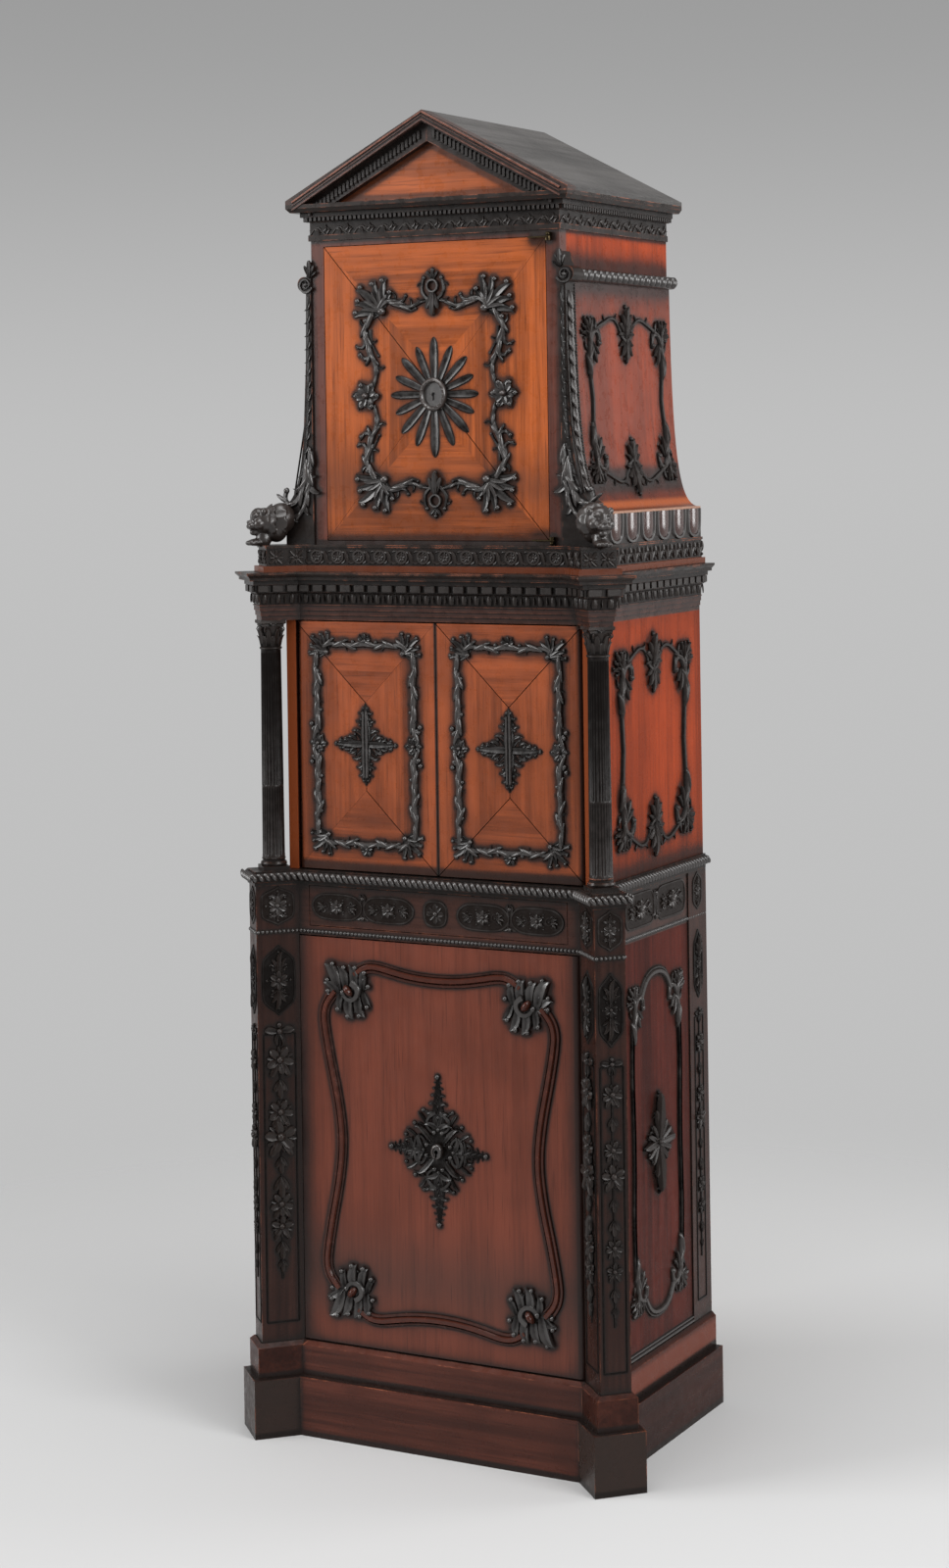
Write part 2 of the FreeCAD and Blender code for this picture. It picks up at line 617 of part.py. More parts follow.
def entablature():
    """Architrave, carved bed moulding and cornice, broken out over the columns."""
    bands = []
    for i in range(3):
        z = Z_ARCHITRAVE + ARCHITRAVE_FASCIA * i
        bands += [(z, FASCIA_STEP * i), (z + ARCHITRAVE_FASCIA, FASCIA_STEP * i)]
    bands += [(Z_LEAF - ARCHITRAVE_FILLET, 3 * FASCIA_STEP), (Z_LEAF, 3 * FASCIA_STEP)]
    architrave = moulded(entablature_plan, bands)
    axis_x, axis_y = mid_door_axis()
    for side in (-1, 1):
        seat = rod(side * axis_x, axis_y, Z_ARCHITRAVE, Z_ARCHITRAVE + PIN_DEPTH, PIN_RADIUS + PIN_SEAT)
        architrave = architrave.cut(seat)
        mortise = bolt_mortise(side * MID_DOOR_MIDDLE, MID_FRONT + DOOR_BOARD, Z_ARCHITRAVE)
        architrave = architrave.cut(mortise)
    leaf = ovolo(Z_LEAF, Z_BED, 2 * FASCIA_STEP, LEAF_OUT, 3)
    bed = [(Z_BED, BED_OUT), (Z_DENTIL, BED_OUT), (Z_DENTIL, DENTIL_OUT), (Z_CORNICE, DENTIL_OUT)]
    moulding = moulded(entablature_plan, leaf + bed)
    soffit = CORNICE_OUT - CORNICE_UNDERCUT
    crown = [(Z_CORNICE, soffit), (Z_CORNICE + CORNICE_HEIGHT / 3, soffit),
             (Z_ATTIC - CORNICE_HEIGHT / 4, CORNICE_OUT), (Z_ATTIC, CORNICE_OUT)]
    cornice = moulded(entablature_plan, crown)
    return {"architrave": [architrave], "bed_moulding": [moulding], "mid_cornice": [cornice]}


def attic():
    """The stepped base of the top tier."""
    z1 = Z_ATTIC + ATTIC_STEP_HEIGHT
    z2 = z1 + ATTIC_BAND_HEIGHT
    profile = [(Z_ATTIC, ATTIC_STEP_OUT), (z1, ATTIC_STEP_OUT), (z1, 0), (z2, 0),
               (z2, ATTIC_FILLET_OUT), (Z_TOP, ATTIC_FILLET_OUT)]
    return {"attic_base": [moulded(attic_plan, profile)]}


def top_case():
    """Sides, back, jambs, rails and trays of the top tier."""
    inside = TOP_HALF - SIDE_BOARD
    behind = TOP_FRONT + DOOR_BOARD
    tray_y = TOP_FRONT + LOCK_ROOM
    levels = tray_levels(Z_TOP, Z_TOP_FILLET - Z_TOP, TOP_TRAYS)
    side = block(inside, TOP_HALF, behind, BACK, Z_TOP, Z_TOP_FILLET)
    side = side.cut(grooves(inside, 1, tray_y, levels))
    jamb = block(TOP_JAMB, TOP_HALF, TOP_FRONT, behind, Z_TOP, Z_TOP_FILLET)
    sill = block(-TOP_JAMB, TOP_JAMB, TOP_FRONT, behind, Z_TOP, Z_TOP + TOP_SILL_HEIGHT)
    head_rail = block(-TOP_JAMB, TOP_JAMB, TOP_FRONT, TOP_FRONT + TOP_RAIL_DEPTH, Z_TOP_RAIL, Z_TOP_FILLET)
    head_rail = head_rail.cut(bolt_mortise(0, behind, Z_TOP_RAIL))
    back = block(-inside, inside, BACK_FACE, BACK, Z_TOP, Z_TOP_FILLET)
    return {
        "top_sides": both([side]),
        "top_jambs": both([jamb]),
        "top_rails": [sill, head_rail],
        "top_back": [back],
        "top_trays": [tray(-inside, inside, tray_y, z) for z in levels],
    }


def flares():
    """Side aprons of the top tier: nulled foot, concave panel and beaded band."""
    y0 = TOP_FRONT - CONSOLE_PROUD + CONSOLE_DEPTH
    z0 = Z_TOP + NULL_BAND_HEIGHT
    z1 = z0 + FLARE_HEIGHT
    z2 = z1 + SIDE_BEAD_HEIGHT
    foot = block(TOP_HALF, TOP_HALF + NULL_BAND_OUT, y0, BACK, Z_TOP, z0)
    wide = TOP_HALF + FLARE_FOOT_OUT
    neck = TOP_HALF + FLARE_NECK_OUT
    curve = Part.BezierCurve()
    curve.setPoles([Vector(wide, y0, z0), Vector(wide - FLARE_FOOT_OUT * 0.64, y0, z0 + FLARE_HEIGHT * 0.02),
                    Vector(neck + 2, y0, z0 + FLARE_HEIGHT * 0.22), Vector(neck, y0, z1)])
    corner = Vector(TOP_HALF, y0, z0)
    crown = Vector(TOP_HALF, y0, z1)
    edges = [Part.makeLine(corner, Vector(wide, y0, z0)), curve.toShape(),
             Part.makeLine(Vector(neck, y0, z1), crown), Part.makeLine(crown, corner)]
    panel = Part.Face(Part.Wire(edges)).extrude(Vector(0, BACK - y0, 0))
    band = block(TOP_HALF, TOP_HALF + SIDE_BEAD_OUT, y0, BACK, z1, z2)
    rounded = [edge for edge in band.Edges if abs(edge.BoundBox.XMin - TOP_HALF - SIDE_BEAD_OUT) < 0.01
               and edge.BoundBox.YLength > TRAY_WALL]
    band = band.makeFillet(SIDE_BEAD_HEIGHT / 2.5, rounded)
    return {"side_aprons": both([foot, panel, band])}


def console_outline():
    """Front outline of the right-hand console: foot, swept shaft, scroll and finial."""
    z_scroll = Z_TOP + NULL_BAND_HEIGHT + FLARE_HEIGHT + SIDE_BEAD_HEIGHT / 2
    y0 = TOP_FRONT - CONSOLE_PROUD
    toe = TOP_HALF + CONSOLE_FOOT_OUT
    neck = TOP_HALF + CONSOLE_NECK_OUT
    z_toe = Z_TOP + CONSOLE_TOE_HEIGHT
    z_neck = z_scroll - SCROLL_RADIUS
    rise = z_neck - z_toe
    sweep = Part.BezierCurve()
    sweep.setPoles([Vector(toe, y0, z_toe), Vector(toe - CONSOLE_FOOT_OUT * 0.55, y0, z_toe + rise * 0.03),
                    Vector(neck + 2, y0, z_toe + rise * 0.28), Vector(neck, y0, z_neck)])
    foot_inner = Vector(TOP_HALF, y0, Z_TOP)
    foot_outer = Vector(toe, y0, Z_TOP)
    tip = Vector(TOP_HALF, y0, z_scroll + CONSOLE_FINIAL_HEIGHT)
    swell = Vector(neck + 2 * SCROLL_RADIUS * Q, y0, z_scroll)
    crown = Vector(neck, y0, z_scroll + SCROLL_RADIUS)
    scroll = Part.Arc(Vector(neck, y0, z_neck), swell, crown)
    return [Part.makeLine(foot_inner, foot_outer), Part.makeLine(foot_outer, Vector(toe, y0, z_toe)),
            sweep.toShape(), scroll.toShape(), Part.makeLine(crown, tip), Part.makeLine(tip, foot_inner)]


def lion_head():
    """Right-hand lion's head, turned about the diagonal from the muzzle back to the neck, on a paw."""
    x, y = on_diagonal(HEAD_FORWARD, 0)
    z = Z_TOP + HEAD_LIFT + HEAD_RADIUS
    neck_back = 2 * HEAD_RADIUS
    profile = [
        (MUZZLE_REACH, 0),
        (MUZZLE_REACH, MUZZLE_RADIUS * 0.7),
        (MUZZLE_REACH * 0.85, MUZZLE_RADIUS),
        (MUZZLE_REACH * 0.5, MUZZLE_RADIUS * 1.1),
        (HEAD_RADIUS * 0.45, HEAD_RADIUS * 0.85),
        (HEAD_RADIUS * 0.1, HEAD_RADIUS),
        (-HEAD_RADIUS * 0.3, HEAD_RADIUS),
        (-HEAD_RADIUS * 0.7, HEAD_RADIUS * 0.9),
        (-neck_back, HEAD_RADIUS * 0.7),
        (-neck_back, 0),
    ]
    forward = Vector(Q, -Q, 0)
    ring = [Vector(x, y, z + radius) + forward * along for along, radius in profile]
    face = Part.Face(Part.makePolygon(ring + ring[:1]))
    head = face.revolve(Vector(x, y, z), forward, 360)
    paw_x, paw_y = on_diagonal(ATTIC_FACE - PAW_RADIUS, 0)
    paw = rod(paw_x, paw_y, Z_TOP, z, PAW_RADIUS)
    return fused([head, paw])


def consoles():
    """Scrolled consoles at the front corners of the top tier, each ending in a lion's head on a paw."""
    console = Part.Face(Part.Wire(console_outline())).extrude(Vector(0, CONSOLE_DEPTH, 0))
    head = lion_head()
    front = TOP_FRONT - CONSOLE_PROUD
    top = Z_TOP + HEAD_LIFT + 3 * HEAD_RADIUS
    console_room = block(0, TOP_HALF + CONSOLE_FOOT_OUT, front, BACK, Z_TOP, top)
    apron_room = block(0, TOP_HALF + NULL_BAND_OUT, front + CONSOLE_DEPTH, BACK, Z_TOP, top)
    head = head.cut(Part.makeCompound([console_room.cut(apron_room), apron_room]))
    return {"consoles": both([console]), "lion_heads": both([head])}


def roof_slope():
    """Half width at the eaves, and the fall of the roof per millimetre from the ridge."""
    half = TOP_HALF + TOP_CORNICE_OUT
    return half, PEDIMENT_RISE / half


def gable_band(drop0, drop1, y0, y1):
    """Right-hand half of a band that follows the slope, between two depths square to it."""
    half, fall = roof_slope()
    upright = math.sqrt(1 + fall * fall)
    top = Z_APEX - drop0 * upright
    low = Z_APEX - drop1 * upright
    points = [(0, top)]
    if drop0 == 0:
        points += [(half, Z_EAVES), (half, Z_ROOF)]
    else:
        points.append(((top - Z_ROOF) / fall, Z_ROOF))
    points += [((low - Z_ROOF) / fall, Z_ROOF), (0, low)]
    return slab(points, y0, y1)


def gable_board(y0, y1):
    """A triangular board under the roof."""
    half, fall = roof_slope()
    low = Z_APEX - ROOF_BOARD * math.sqrt(1 + fall * fall)
    reach = (low - Z_ROOF) / fall
    return slab([(-reach, Z_ROOF), (reach, Z_ROOF), (0, low)], y0, y1)


def pediment():
    """Top frieze and cornice, raking cornices, tympanum, roof boards and rear gable."""
    profile = [(Z_TOP_FILLET, TOP_FILLET_OUT), (Z_TOP_FRIEZE, TOP_FILLET_OUT), (Z_TOP_FRIEZE, TOP_FRIEZE_OUT),
               (Z_TOP_BED, TOP_FRIEZE_OUT)]
    frieze_board = moulded(top_plan, profile)
    crown = [(Z_TOP_BED, TOP_BED_OUT), (Z_TOP_DENTIL, TOP_BED_OUT), (Z_TOP_DENTIL, TOP_DENTIL_OUT),
             (Z_TOP_CORNICE, TOP_DENTIL_OUT), (Z_TOP_CORNICE, TOP_CORNICE_OUT - CORNICE_UNDERCUT),
             (Z_TOP_CORNICE + TOP_CORNICE_HEIGHT / 2, TOP_CORNICE_OUT), (Z_ROOF, TOP_CORNICE_OUT)]
    cornice = moulded(top_plan, crown)
    front = TOP_FRONT - TOP_CORNICE_OUT
    fascia = gable_band(0, RAKE_FASCIA, front, TOP_FRONT)
    dentil = gable_band(RAKE_FASCIA, RAKE_FASCIA + RAKE_DENTIL, TOP_FRONT - RAKE_DENTIL_OUT, TOP_FRONT)
    roof = gable_band(0, ROOF_BOARD, TOP_FRONT, BACK)
    return {
        "top_frieze": [frieze_board],
        "top_cornice": [cornice],
        "raking_cornices": both([fused([fascia, dentil])]),
        "roof_boards": both([roof]),
        "tympanum": [gable_board(TOP_FRONT, TOP_FRONT + GABLE_BOARD)],
        "rear_gable": [gable_board(BACK - GABLE_BOARD, BACK)],
    }


def bolt_box(x, face, z0, z1, clear):
    """The room that a lock bolt takes up behind a door's back face."""
    half = BOLT_WIDTH / 2 + clear
    y0 = face + BOLT_INSET - clear
    return block(x - half, x + half, y0, y0 + BOLT_BOARD + 2 * clear, z0, z1)


def bolt_mortise(x, face, z):
    """Mortise for a shot bolt, up from the underside of the board above the door."""
    return bolt_box(x, face, z, z + BOLT_THROW, BOLT_CLEAR)


def lock(x, z, face, door_top):
    """Lock case and staple on a door's back, and the upright bolt that runs in them."""
    half = LOCK_WIDTH / 2
    bolt = bolt_box(x, face, z - BOLT_TAIL, door_top - BOLT_SHY, 0)
    channel = bolt_box(x, face, z - BOLT_TAIL - BOLT_CLEAR, door_top, BOLT_CLEAR)
    case = block(x - half, x + half, face, face + LOCK_DEPTH, z - LOCK_HEIGHT / 2, z + LOCK_HEIGHT / 2)
    staple_top = door_top - STAPLE_DROP
    staple = block(x - STAPLE_WIDTH / 2, x + STAPLE_WIDTH / 2, face, face + LOCK_DEPTH,
                   staple_top - STAPLE_HEIGHT, staple_top)
    return [case.cut(channel), staple.cut(channel)], [bolt]


def keyhole(x, z, front):
    """A round keyhole through a door."""
    return Part.makeCylinder(KEYHOLE_RADIUS, DOOR_BOARD, Vector(x, front, z), Vector(0, 1, 0))


def pinned_blank(x0, axis_x, axis_y, front, z0, z1):
    """A door blank whose hinge edge is rounded about its pins, with sockets for them."""
    flat = block(x0, axis_x, front, front + DOOR_BOARD, z0, z1)
    blank = fused([flat, rod(axis_x, axis_y, z0, z1, DOOR_BOARD / 2)])
    deep = PIN_DEPTH + PIN_CLEAR
    for z in (z0, z1 - deep):
        blank = blank.cut(rod(axis_x, axis_y, z, z + deep, PIN_RADIUS + PIN_CLEAR))
    return blank


def pins(axis_x, axis_y, z0, z1):
    """Lower and upper pin of a door between z0 and z1, half in the frame and half in the door."""
    reach = PIN_DEPTH + DOOR_LIFT
    lower = rod(axis_x, axis_y, z0 - reach, z0 + PIN_DEPTH, PIN_RADIUS)
    upper = rod(axis_x, axis_y, z1 - PIN_DEPTH, z1 + reach, PIN_RADIUS)
    return [lower, upper]


def joint_line(start, end, gap, front):
    """A joint line through a door's face between two (x, z) points."""
    dx = end[0] - start[0]
    dz = end[1] - start[1]
    scale = gap / 2 / math.hypot(dx, dz)
    side = (-dz * scale, dx * scale)
    points = [(start[0] + side[0], start[1] + side[1]), (start[0] - side[0], start[1] - side[1]),
              (end[0] - side[0], end[1] - side[1]), (end[0] + side[0], end[1] + side[1])]
    return slab(points, front, front + DOOR_FACE)


def quartered(blank, x0, x1, z0, z1, split, falling, rising, front):
    """A door of a plain backing with a face of four mitred boards.

    The joints that fall to the right and those that rise to the right each have their own gap.
    """
    middle = (x0 + x1) / 2
    centre = (z0 + z1) / 2
    low = (middle, centre - split)
    high = (middle, centre + split)
    face_room = block(x0 - DOOR_BOARD, x1 + DOOR_BOARD, front, front + DOOR_FACE, z0, z1)
    face = blank.common(face_room)
    backing = blank.cut(face_room)
    lines = [((x0, z0), low, rising), ((x1, z0), low, falling),
             ((x0, z1), high, falling), ((x1, z1), high, rising)]
    if split:
        lines.append((low, high, MITRE_OPEN))
    face = face.cut(Part.makeCompound([joint_line(start, end, gap, front) for start, end, gap in lines]))
    hole = keyhole(middle, centre, front)
    return [backing.cut(hole)] + face.cut(hole).Solids


def base_door():
    """The base door with its lock and pins."""
    axis_x, axis_y = base_door_axis()
    z1 = Z_BASE_DOOR + BASE_DOOR_HEIGHT
    middle = Z_BASE_DOOR + BASE_DOOR_HEIGHT / 2
    blank = pinned_blank(-base_jamb() + DOOR_GAP, axis_x, axis_y, FRONT, Z_BASE_DOOR, z1)
    case, bolt = lock(0, middle, FRONT + DOOR_BOARD, z1)
    return {
        "base_door": [blank.cut(keyhole(0, middle, FRONT))],
        "base_door_pins": pins(axis_x, axis_y, Z_BASE_DOOR, z1),
        "base_lock_case": case,
        "base_lock_bolt": bolt,
    }


def mid_doors():
    """The pair of middle doors, each with its own lock and pins."""
    axis_x, axis_y = mid_door_axis()
    z1 = Z_MID_DOOR + MID_DOOR_HEIGHT
    x0 = DOOR_GAP / 2
    x1 = MID_JAMB - DOOR_GAP
    blank = pinned_blank(x0, axis_x, axis_y, MID_FRONT, Z_MID_DOOR, z1)
    split = (MID_DOOR_HEIGHT - (x1 - x0)) / 2
    right = quartered(blank, x0, x1, Z_MID_DOOR, z1, split, MITRE_OPEN, MITRE_OPEN, MID_FRONT)
    left = quartered(blank, x0, x1, Z_MID_DOOR, z1, split, MITRE_TIGHT, MITRE_OPEN, MID_FRONT)
    middle = Z_MID_DOOR + MID_DOOR_HEIGHT / 2
    case, bolt = lock(MID_DOOR_MIDDLE, middle, MID_FRONT + DOOR_BOARD, z1)
    return {
        "mid_door_right": right,
        "mid_door_left": [mirrored(piece) for piece in left],
        "mid_door_pins": both(pins(axis_x, axis_y, Z_MID_DOOR, z1)),
        "mid_lock_case_right": case,
        "mid_lock_case_left": [mirrored(piece) for piece in case],
        "mid_lock_bolt_right": bolt,
        "mid_lock_bolt_left": [mirrored(piece) for piece in bolt],
    }


def top_hinge(z_leaf, z_eye, z_bracket):
    """One cranked brass leaf with its eye, and the ball-ended pin bracketed to the jamb."""
    root = TOP_DOOR_EDGE - LEAF_LENGTH
    outside = TOP_AXIS_Y - EYE_RADIUS
    arm = EYE_RADIUS * 2
    plan = [(root, TOP_FRONT + arm), (root, outside), (TOP_AXIS_X, outside), (TOP_AXIS_X, TOP_AXIS_Y),
            (root + arm, TOP_AXIS_Y), (root + arm, TOP_FRONT + arm)]
    leaf = prism(plan, z_leaf, z_leaf + LEAF_BOARD)
    eye = rod(TOP_AXIS_X, TOP_AXIS_Y, z_eye, z_eye + EYE_HEIGHT, EYE_RADIUS)
    bore = rod(TOP_AXIS_X, TOP_AXIS_Y, z_eye, z_eye + EYE_HEIGHT, TOP_PIN_RADIUS + PIN_CLEAR)
    moving = fused([leaf, eye]).cut(bore)
    low = min(z_eye, z_bracket)
    high = max(z_eye, z_bracket) + EYE_HEIGHT
    pin = rod(TOP_AXIS_X, TOP_AXIS_Y, low, high, TOP_PIN_RADIUS)
    bracket = block(TOP_AXIS_X - BALL_RADIUS, TOP_AXIS_X + BALL_RADIUS, TOP_AXIS_Y, TOP_FRONT,
                    z_bracket, z_bracket + EYE_HEIGHT)
    ball = Part.makeSphere(BALL_RADIUS, Vector(TOP_AXIS_X, TOP_AXIS_Y, z_bracket + EYE_HEIGHT / 2))
    return moving, fused([pin, bracket, ball])


def top_door():
    """The top door, hung on the right on two cranked hinges, with its lock."""
    half = TOP_DOOR_EDGE
    z0 = Z_TOP_DOOR
    z1 = z0 + TOP_DOOR_HEIGHT
    blank = block(-half, half, TOP_FRONT, TOP_FRONT + DOOR_BOARD, z0, z1)
    upper = top_hinge(z1 - LEAF_BOARD, z1 - EYE_HEIGHT, z1 + PIN_CLEAR)
    lower = top_hinge(z0, z0, z0 - EYE_HEIGHT - PIN_CLEAR)
    blank = blank.cut(Part.makeCompound([upper[0], lower[0]]))
    middle = z0 + TOP_DOOR_HEIGHT / 2
    case, bolt = lock(0, middle, TOP_FRONT + DOOR_BOARD, z1)
    return {
        "top_door": quartered(blank, -half, half, z0, z1, 0, MITRE_OPEN, MITRE_TIGHT, TOP_FRONT),
        "top_hinge_leaves": [upper[0], lower[0]],
        "top_hinge_pins": [upper[1], lower[1]],
        "top_lock_case": case,
        "top_lock_bolt": bolt,
    }


def export(nodes):
    """One file per named piece or group of pieces."""
    for name, solids in nodes.items():
        shape = solids[0] if len(solids) == 1 else Part.makeCompound(solids)
        shape.exportStep("parts/" + name + ".step")
        print(name, len(shape.Solids), "solids", shape.isValid())


os.makedirs("parts", exist_ok=True)
for make in (plinth, base_case, frieze, drawer, waist, mid_case, columns, entablature, attic,
             top_case, flares, consoles, pediment, base_door, mid_doors, top_door):
    export(make())
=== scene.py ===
import math

import bmesh
import bpy
from bpy.props import FloatProperty, FloatVectorProperty, IntProperty, PointerProperty
from mathutils import Matrix, Vector
from mathutils.geometry import interpolate_bezier


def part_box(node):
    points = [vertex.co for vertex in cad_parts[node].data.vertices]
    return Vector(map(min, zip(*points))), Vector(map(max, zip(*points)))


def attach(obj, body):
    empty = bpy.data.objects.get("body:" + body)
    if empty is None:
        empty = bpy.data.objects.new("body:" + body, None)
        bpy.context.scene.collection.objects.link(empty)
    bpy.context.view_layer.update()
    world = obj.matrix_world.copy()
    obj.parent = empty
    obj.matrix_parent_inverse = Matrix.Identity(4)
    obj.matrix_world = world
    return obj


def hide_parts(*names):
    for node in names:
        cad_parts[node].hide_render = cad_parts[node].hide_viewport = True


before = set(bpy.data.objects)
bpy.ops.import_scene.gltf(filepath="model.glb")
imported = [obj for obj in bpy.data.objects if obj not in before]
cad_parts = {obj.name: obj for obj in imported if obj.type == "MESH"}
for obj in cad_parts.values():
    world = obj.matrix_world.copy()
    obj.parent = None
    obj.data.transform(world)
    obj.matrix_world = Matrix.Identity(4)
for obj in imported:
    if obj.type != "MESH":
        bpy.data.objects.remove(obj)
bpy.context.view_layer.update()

bl_info = {
    "name": "Medal cabinet dresser",
    "version": (1, 0, 0),
    "blender": (4, 5, 0),
    "location": "3D View > Sidebar > Cabinet",
    "description": "Dresses the packed medal cabinet with its carving, finishes and studio",
    "category": "Object",
}

MM = 0.001
Q = math.sqrt(0.5)              # sine and cosine of 45 degrees
UP = Vector((0, 0, 1))
SINK = 0.5                      # carving is let into its ground by this many millimetres


def edges(node):
    """Lowest and highest corner of a node of the frame, in millimetres."""
    low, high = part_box(node)
    return low / MM, high / MM


# Places read from the frame, in millimetres
BASE_FRONT = edges("base_door")[0].y
MID_FRONT = edges("mid_door_right")[0].y
TOP_FRONT = edges("tympanum")[0].y
BACK = edges("base_back")[1].y
BASE_SIDE = edges("base_sides")[1].x
MID_SIDE = edges("mid_sides")[1].x
TOP_SIDE = edges("top_sides")[1].x
SHAFT_LOW, SHAFT_HIGH = edges("column_shafts")
SHAFT_RADIUS = (SHAFT_HIGH.y - SHAFT_LOW.y) / 2
COLUMN = Vector((SHAFT_HIGH.x - SHAFT_RADIUS, (SHAFT_HIGH.y + SHAFT_LOW.y) / 2, 0))
LEAF_LOW = edges("bed_moulding")[0]
WAIST_LOW = edges("waist_board")[0]
ATTIC_LOW = edges("attic_base")[0]
FRIEZE_LOW, FRIEZE_HIGH = edges("top_frieze")
CORNICE_LOW = edges("top_cornice")[0]
APRON_LOW, APRON_HIGH = edges("side_aprons")
PLINTH_TOP = edges("plinth_sides")[1].z
PLINTH_STEP = PLINTH_TOP * 0.63             # top of the plinth's lower step
FRIEZE_MIDDLE = edges("frieze_sides")[0].z + 45
ATTIC_MIDDLE = ATTIC_LOW.z + 23
CONSOLE_MIDDLE = APRON_LOW.z + 242.6
LION_LOW, LION_HIGH = edges("lion_heads")
LION_MIDDLE = Vector((LION_HIGH.x - 25.17, LION_LOW.y + 28.6, LION_LOW.z + 36.6))

# Sizes that the frame gives no box for, in millimetres
APRON_FOOT, APRON_BAND = 47, 17             # heights of the aprons' black foot and black top band
POST_FACE, POST_HALF = 34, 23.5             # a post's face, out from the column's axis, and its half width
REAR_POST_WIDE = 41                         # carved width of a rear post's side
ENTABLATURE_HALF = 18                       # half width of the blocks over the columns
ATTIC_OUT = 5                               # the attic's sides, out from the middle tier's
ATTIC_FACE, ATTIC_HALF = 11, 27             # an attic block's face and half width, as for a post
RAKE_DENTIL_DROP, RAKE_DENTIL_OUT = 25.5, 13    # raking dentils, below the slope and out from the gable
OVAL_MIDDLES = 81, 171                      # the two ovals of a pair, out from the drawer's middle

# Heights of the carving's middle above the middle of each door, in millimetres
TOP_DOOR_RISE = -4.9
MID_DOOR_RISE = 3.6
BASE_DOOR_RISE = 1.5


# The bench

def deselect():
    if bpy.context.object and bpy.context.object.mode != "OBJECT":
        bpy.ops.object.mode_set(mode="OBJECT")
    bpy.ops.object.select_all(action="DESELECT")


def take(obj):
    """Make one object the selected and active one."""
    deselect()
    obj.select_set(True)
    bpy.context.view_layer.objects.active = obj
    return obj


def pick(obj, test):
    """Select the vertices of the mesh being edited whose place passes a test."""
    bpy.ops.mesh.select_mode(type="VERT")
    bpy.ops.mesh.select_all(action="DESELECT")
    mesh = bmesh.from_edit_mesh(obj.data)
    for vert in mesh.verts:
        vert.select_set(test(vert.co))
    mesh.select_flush(True)
    bmesh.update_edit_mesh(obj.data)


def close_up(obj, name, angle=50):
    """Merge doubles, turn all faces outwards, smooth, and leave edit mode."""
    bpy.ops.mesh.select_all(action="SELECT")
    bpy.ops.mesh.remove_doubles(threshold=1e-5)
    bpy.ops.mesh.normals_make_consistent(inside=False)
    bpy.ops.object.mode_set(mode="OBJECT")
    bpy.ops.object.shade_smooth_by_angle(angle=math.radians(angle))
    obj.name = name
    return obj


def blade(name, stations, valley=0.5, sides=8):
    """A carved blade, flat underneath: a section drawn out along Y through (x, y, z, half width, height)."""
    deselect()
    upright = (math.pi / 2, 0, 0)
    bpy.ops.mesh.primitive_circle_add(vertices=sides, radius=1, fill_type="NGON", rotation=upright)
    obj = bpy.context.object
    bpy.ops.object.transform_apply(rotation=True)
    bpy.ops.object.mode_set(mode="EDIT")
    pick(obj, lambda co: co.z < -0.1)
    bpy.ops.transform.resize(value=(1, 1, 0), center_override=(0, 0, 0))
    pick(obj, lambda co: co.z > 0.9)
    bpy.ops.transform.translate(value=(0, 0, valley - 1))
    bpy.ops.mesh.select_all(action="SELECT")
    x, y, z, wide, high = stations[0]
    bpy.ops.transform.resize(value=(wide, 1, high), center_override=(0, 0, 0))
    bpy.ops.transform.translate(value=(x, y, z))
    for x1, y1, z1, wide1, high1 in stations[1:]:
        bpy.ops.mesh.extrude_region_move(TRANSFORM_OT_translate={"value": (x1 - x, y1 - y, z1 - z)})
        bpy.ops.transform.resize(value=(wide1 / wide, 1, high1 / high), center_override=(x1, y1, z1))
        x, y, z, wide, high = x1, y1, z1, wide1, high1
    return close_up(obj, name)


def dome(name, segments=8, rings=6):
    """Half a ball of unit radius, closed underneath."""
    deselect()
    bpy.ops.mesh.primitive_uv_sphere_add(segments=segments, ring_count=rings, radius=1)
    obj = bpy.context.object
    bpy.ops.object.mode_set(mode="EDIT")
    bpy.ops.mesh.select_all(action="SELECT")
    bpy.ops.mesh.bisect(plane_co=(0, 0, 0), plane_no=(0, 0, 1), use_fill=True, clear_inner=True)
    return close_up(obj, name)


def disc(vertices, radius, z):
    """A filled circle round the Z axis at a height, in edit mode, ready to be drawn up."""
    deselect()
    bpy.ops.mesh.primitive_circle_add(vertices=vertices, radius=radius, fill_type="NGON", location=(0, 0, z))
    obj = bpy.context.object
    bpy.ops.object.transform_apply(location=True)
    bpy.ops.object.mode_set(mode="EDIT")
    return obj


def curve_mesh(curve, points, cyclic=False, angle=50):
    """Lay a smooth spline through (x, y, radius) points of a curve and make it a closed mesh."""
    name = curve.name
    spline = curve.splines.new("NURBS")
    spline.points.add(len(points) - 1)
    for point, (x, y, radius) in zip(spline.points, points):
        point.co = (x, y, 0, 1)
        point.radius = radius
    spline.use_cyclic_u = cyclic
    spline.order_u = 3
    spline.use_endpoint_u = not cyclic
    obj = bpy.data.objects.new(name, curve)
    bpy.context.scene.collection.objects.link(obj)
    take(obj)
    bpy.ops.object.convert(target="MESH")
    bpy.ops.object.mode_set(mode="EDIT")
    return close_up(bpy.context.object, name, angle)


def cord_line(name, points, cyclic=False, along=4):
    """A carved round rib along (x, y, radius) points, as a mesh."""
    curve = bpy.data.curves.new(name, "CURVE")
    curve.dimensions = "3D"
    curve.resolution_u = along
    curve.use_fill_caps = not cyclic
    curve.bevel_depth = 1
    curve.bevel_resolution = 1
    return curve_mesh(curve, points, cyclic=cyclic)


def at(x, y, size, angle=0.0, wide=1.0, high=1.0, lift=0.0):
    """Where a copy goes in its panel: its place, its size along Y, and how it is turned and stretched."""
    stretch = Matrix.Diagonal((size * wide, size, size * high, 1))
    return Matrix.Translation((x, y, lift)) @ Matrix.Rotation(math.radians(angle), 4, "Z") @ stretch


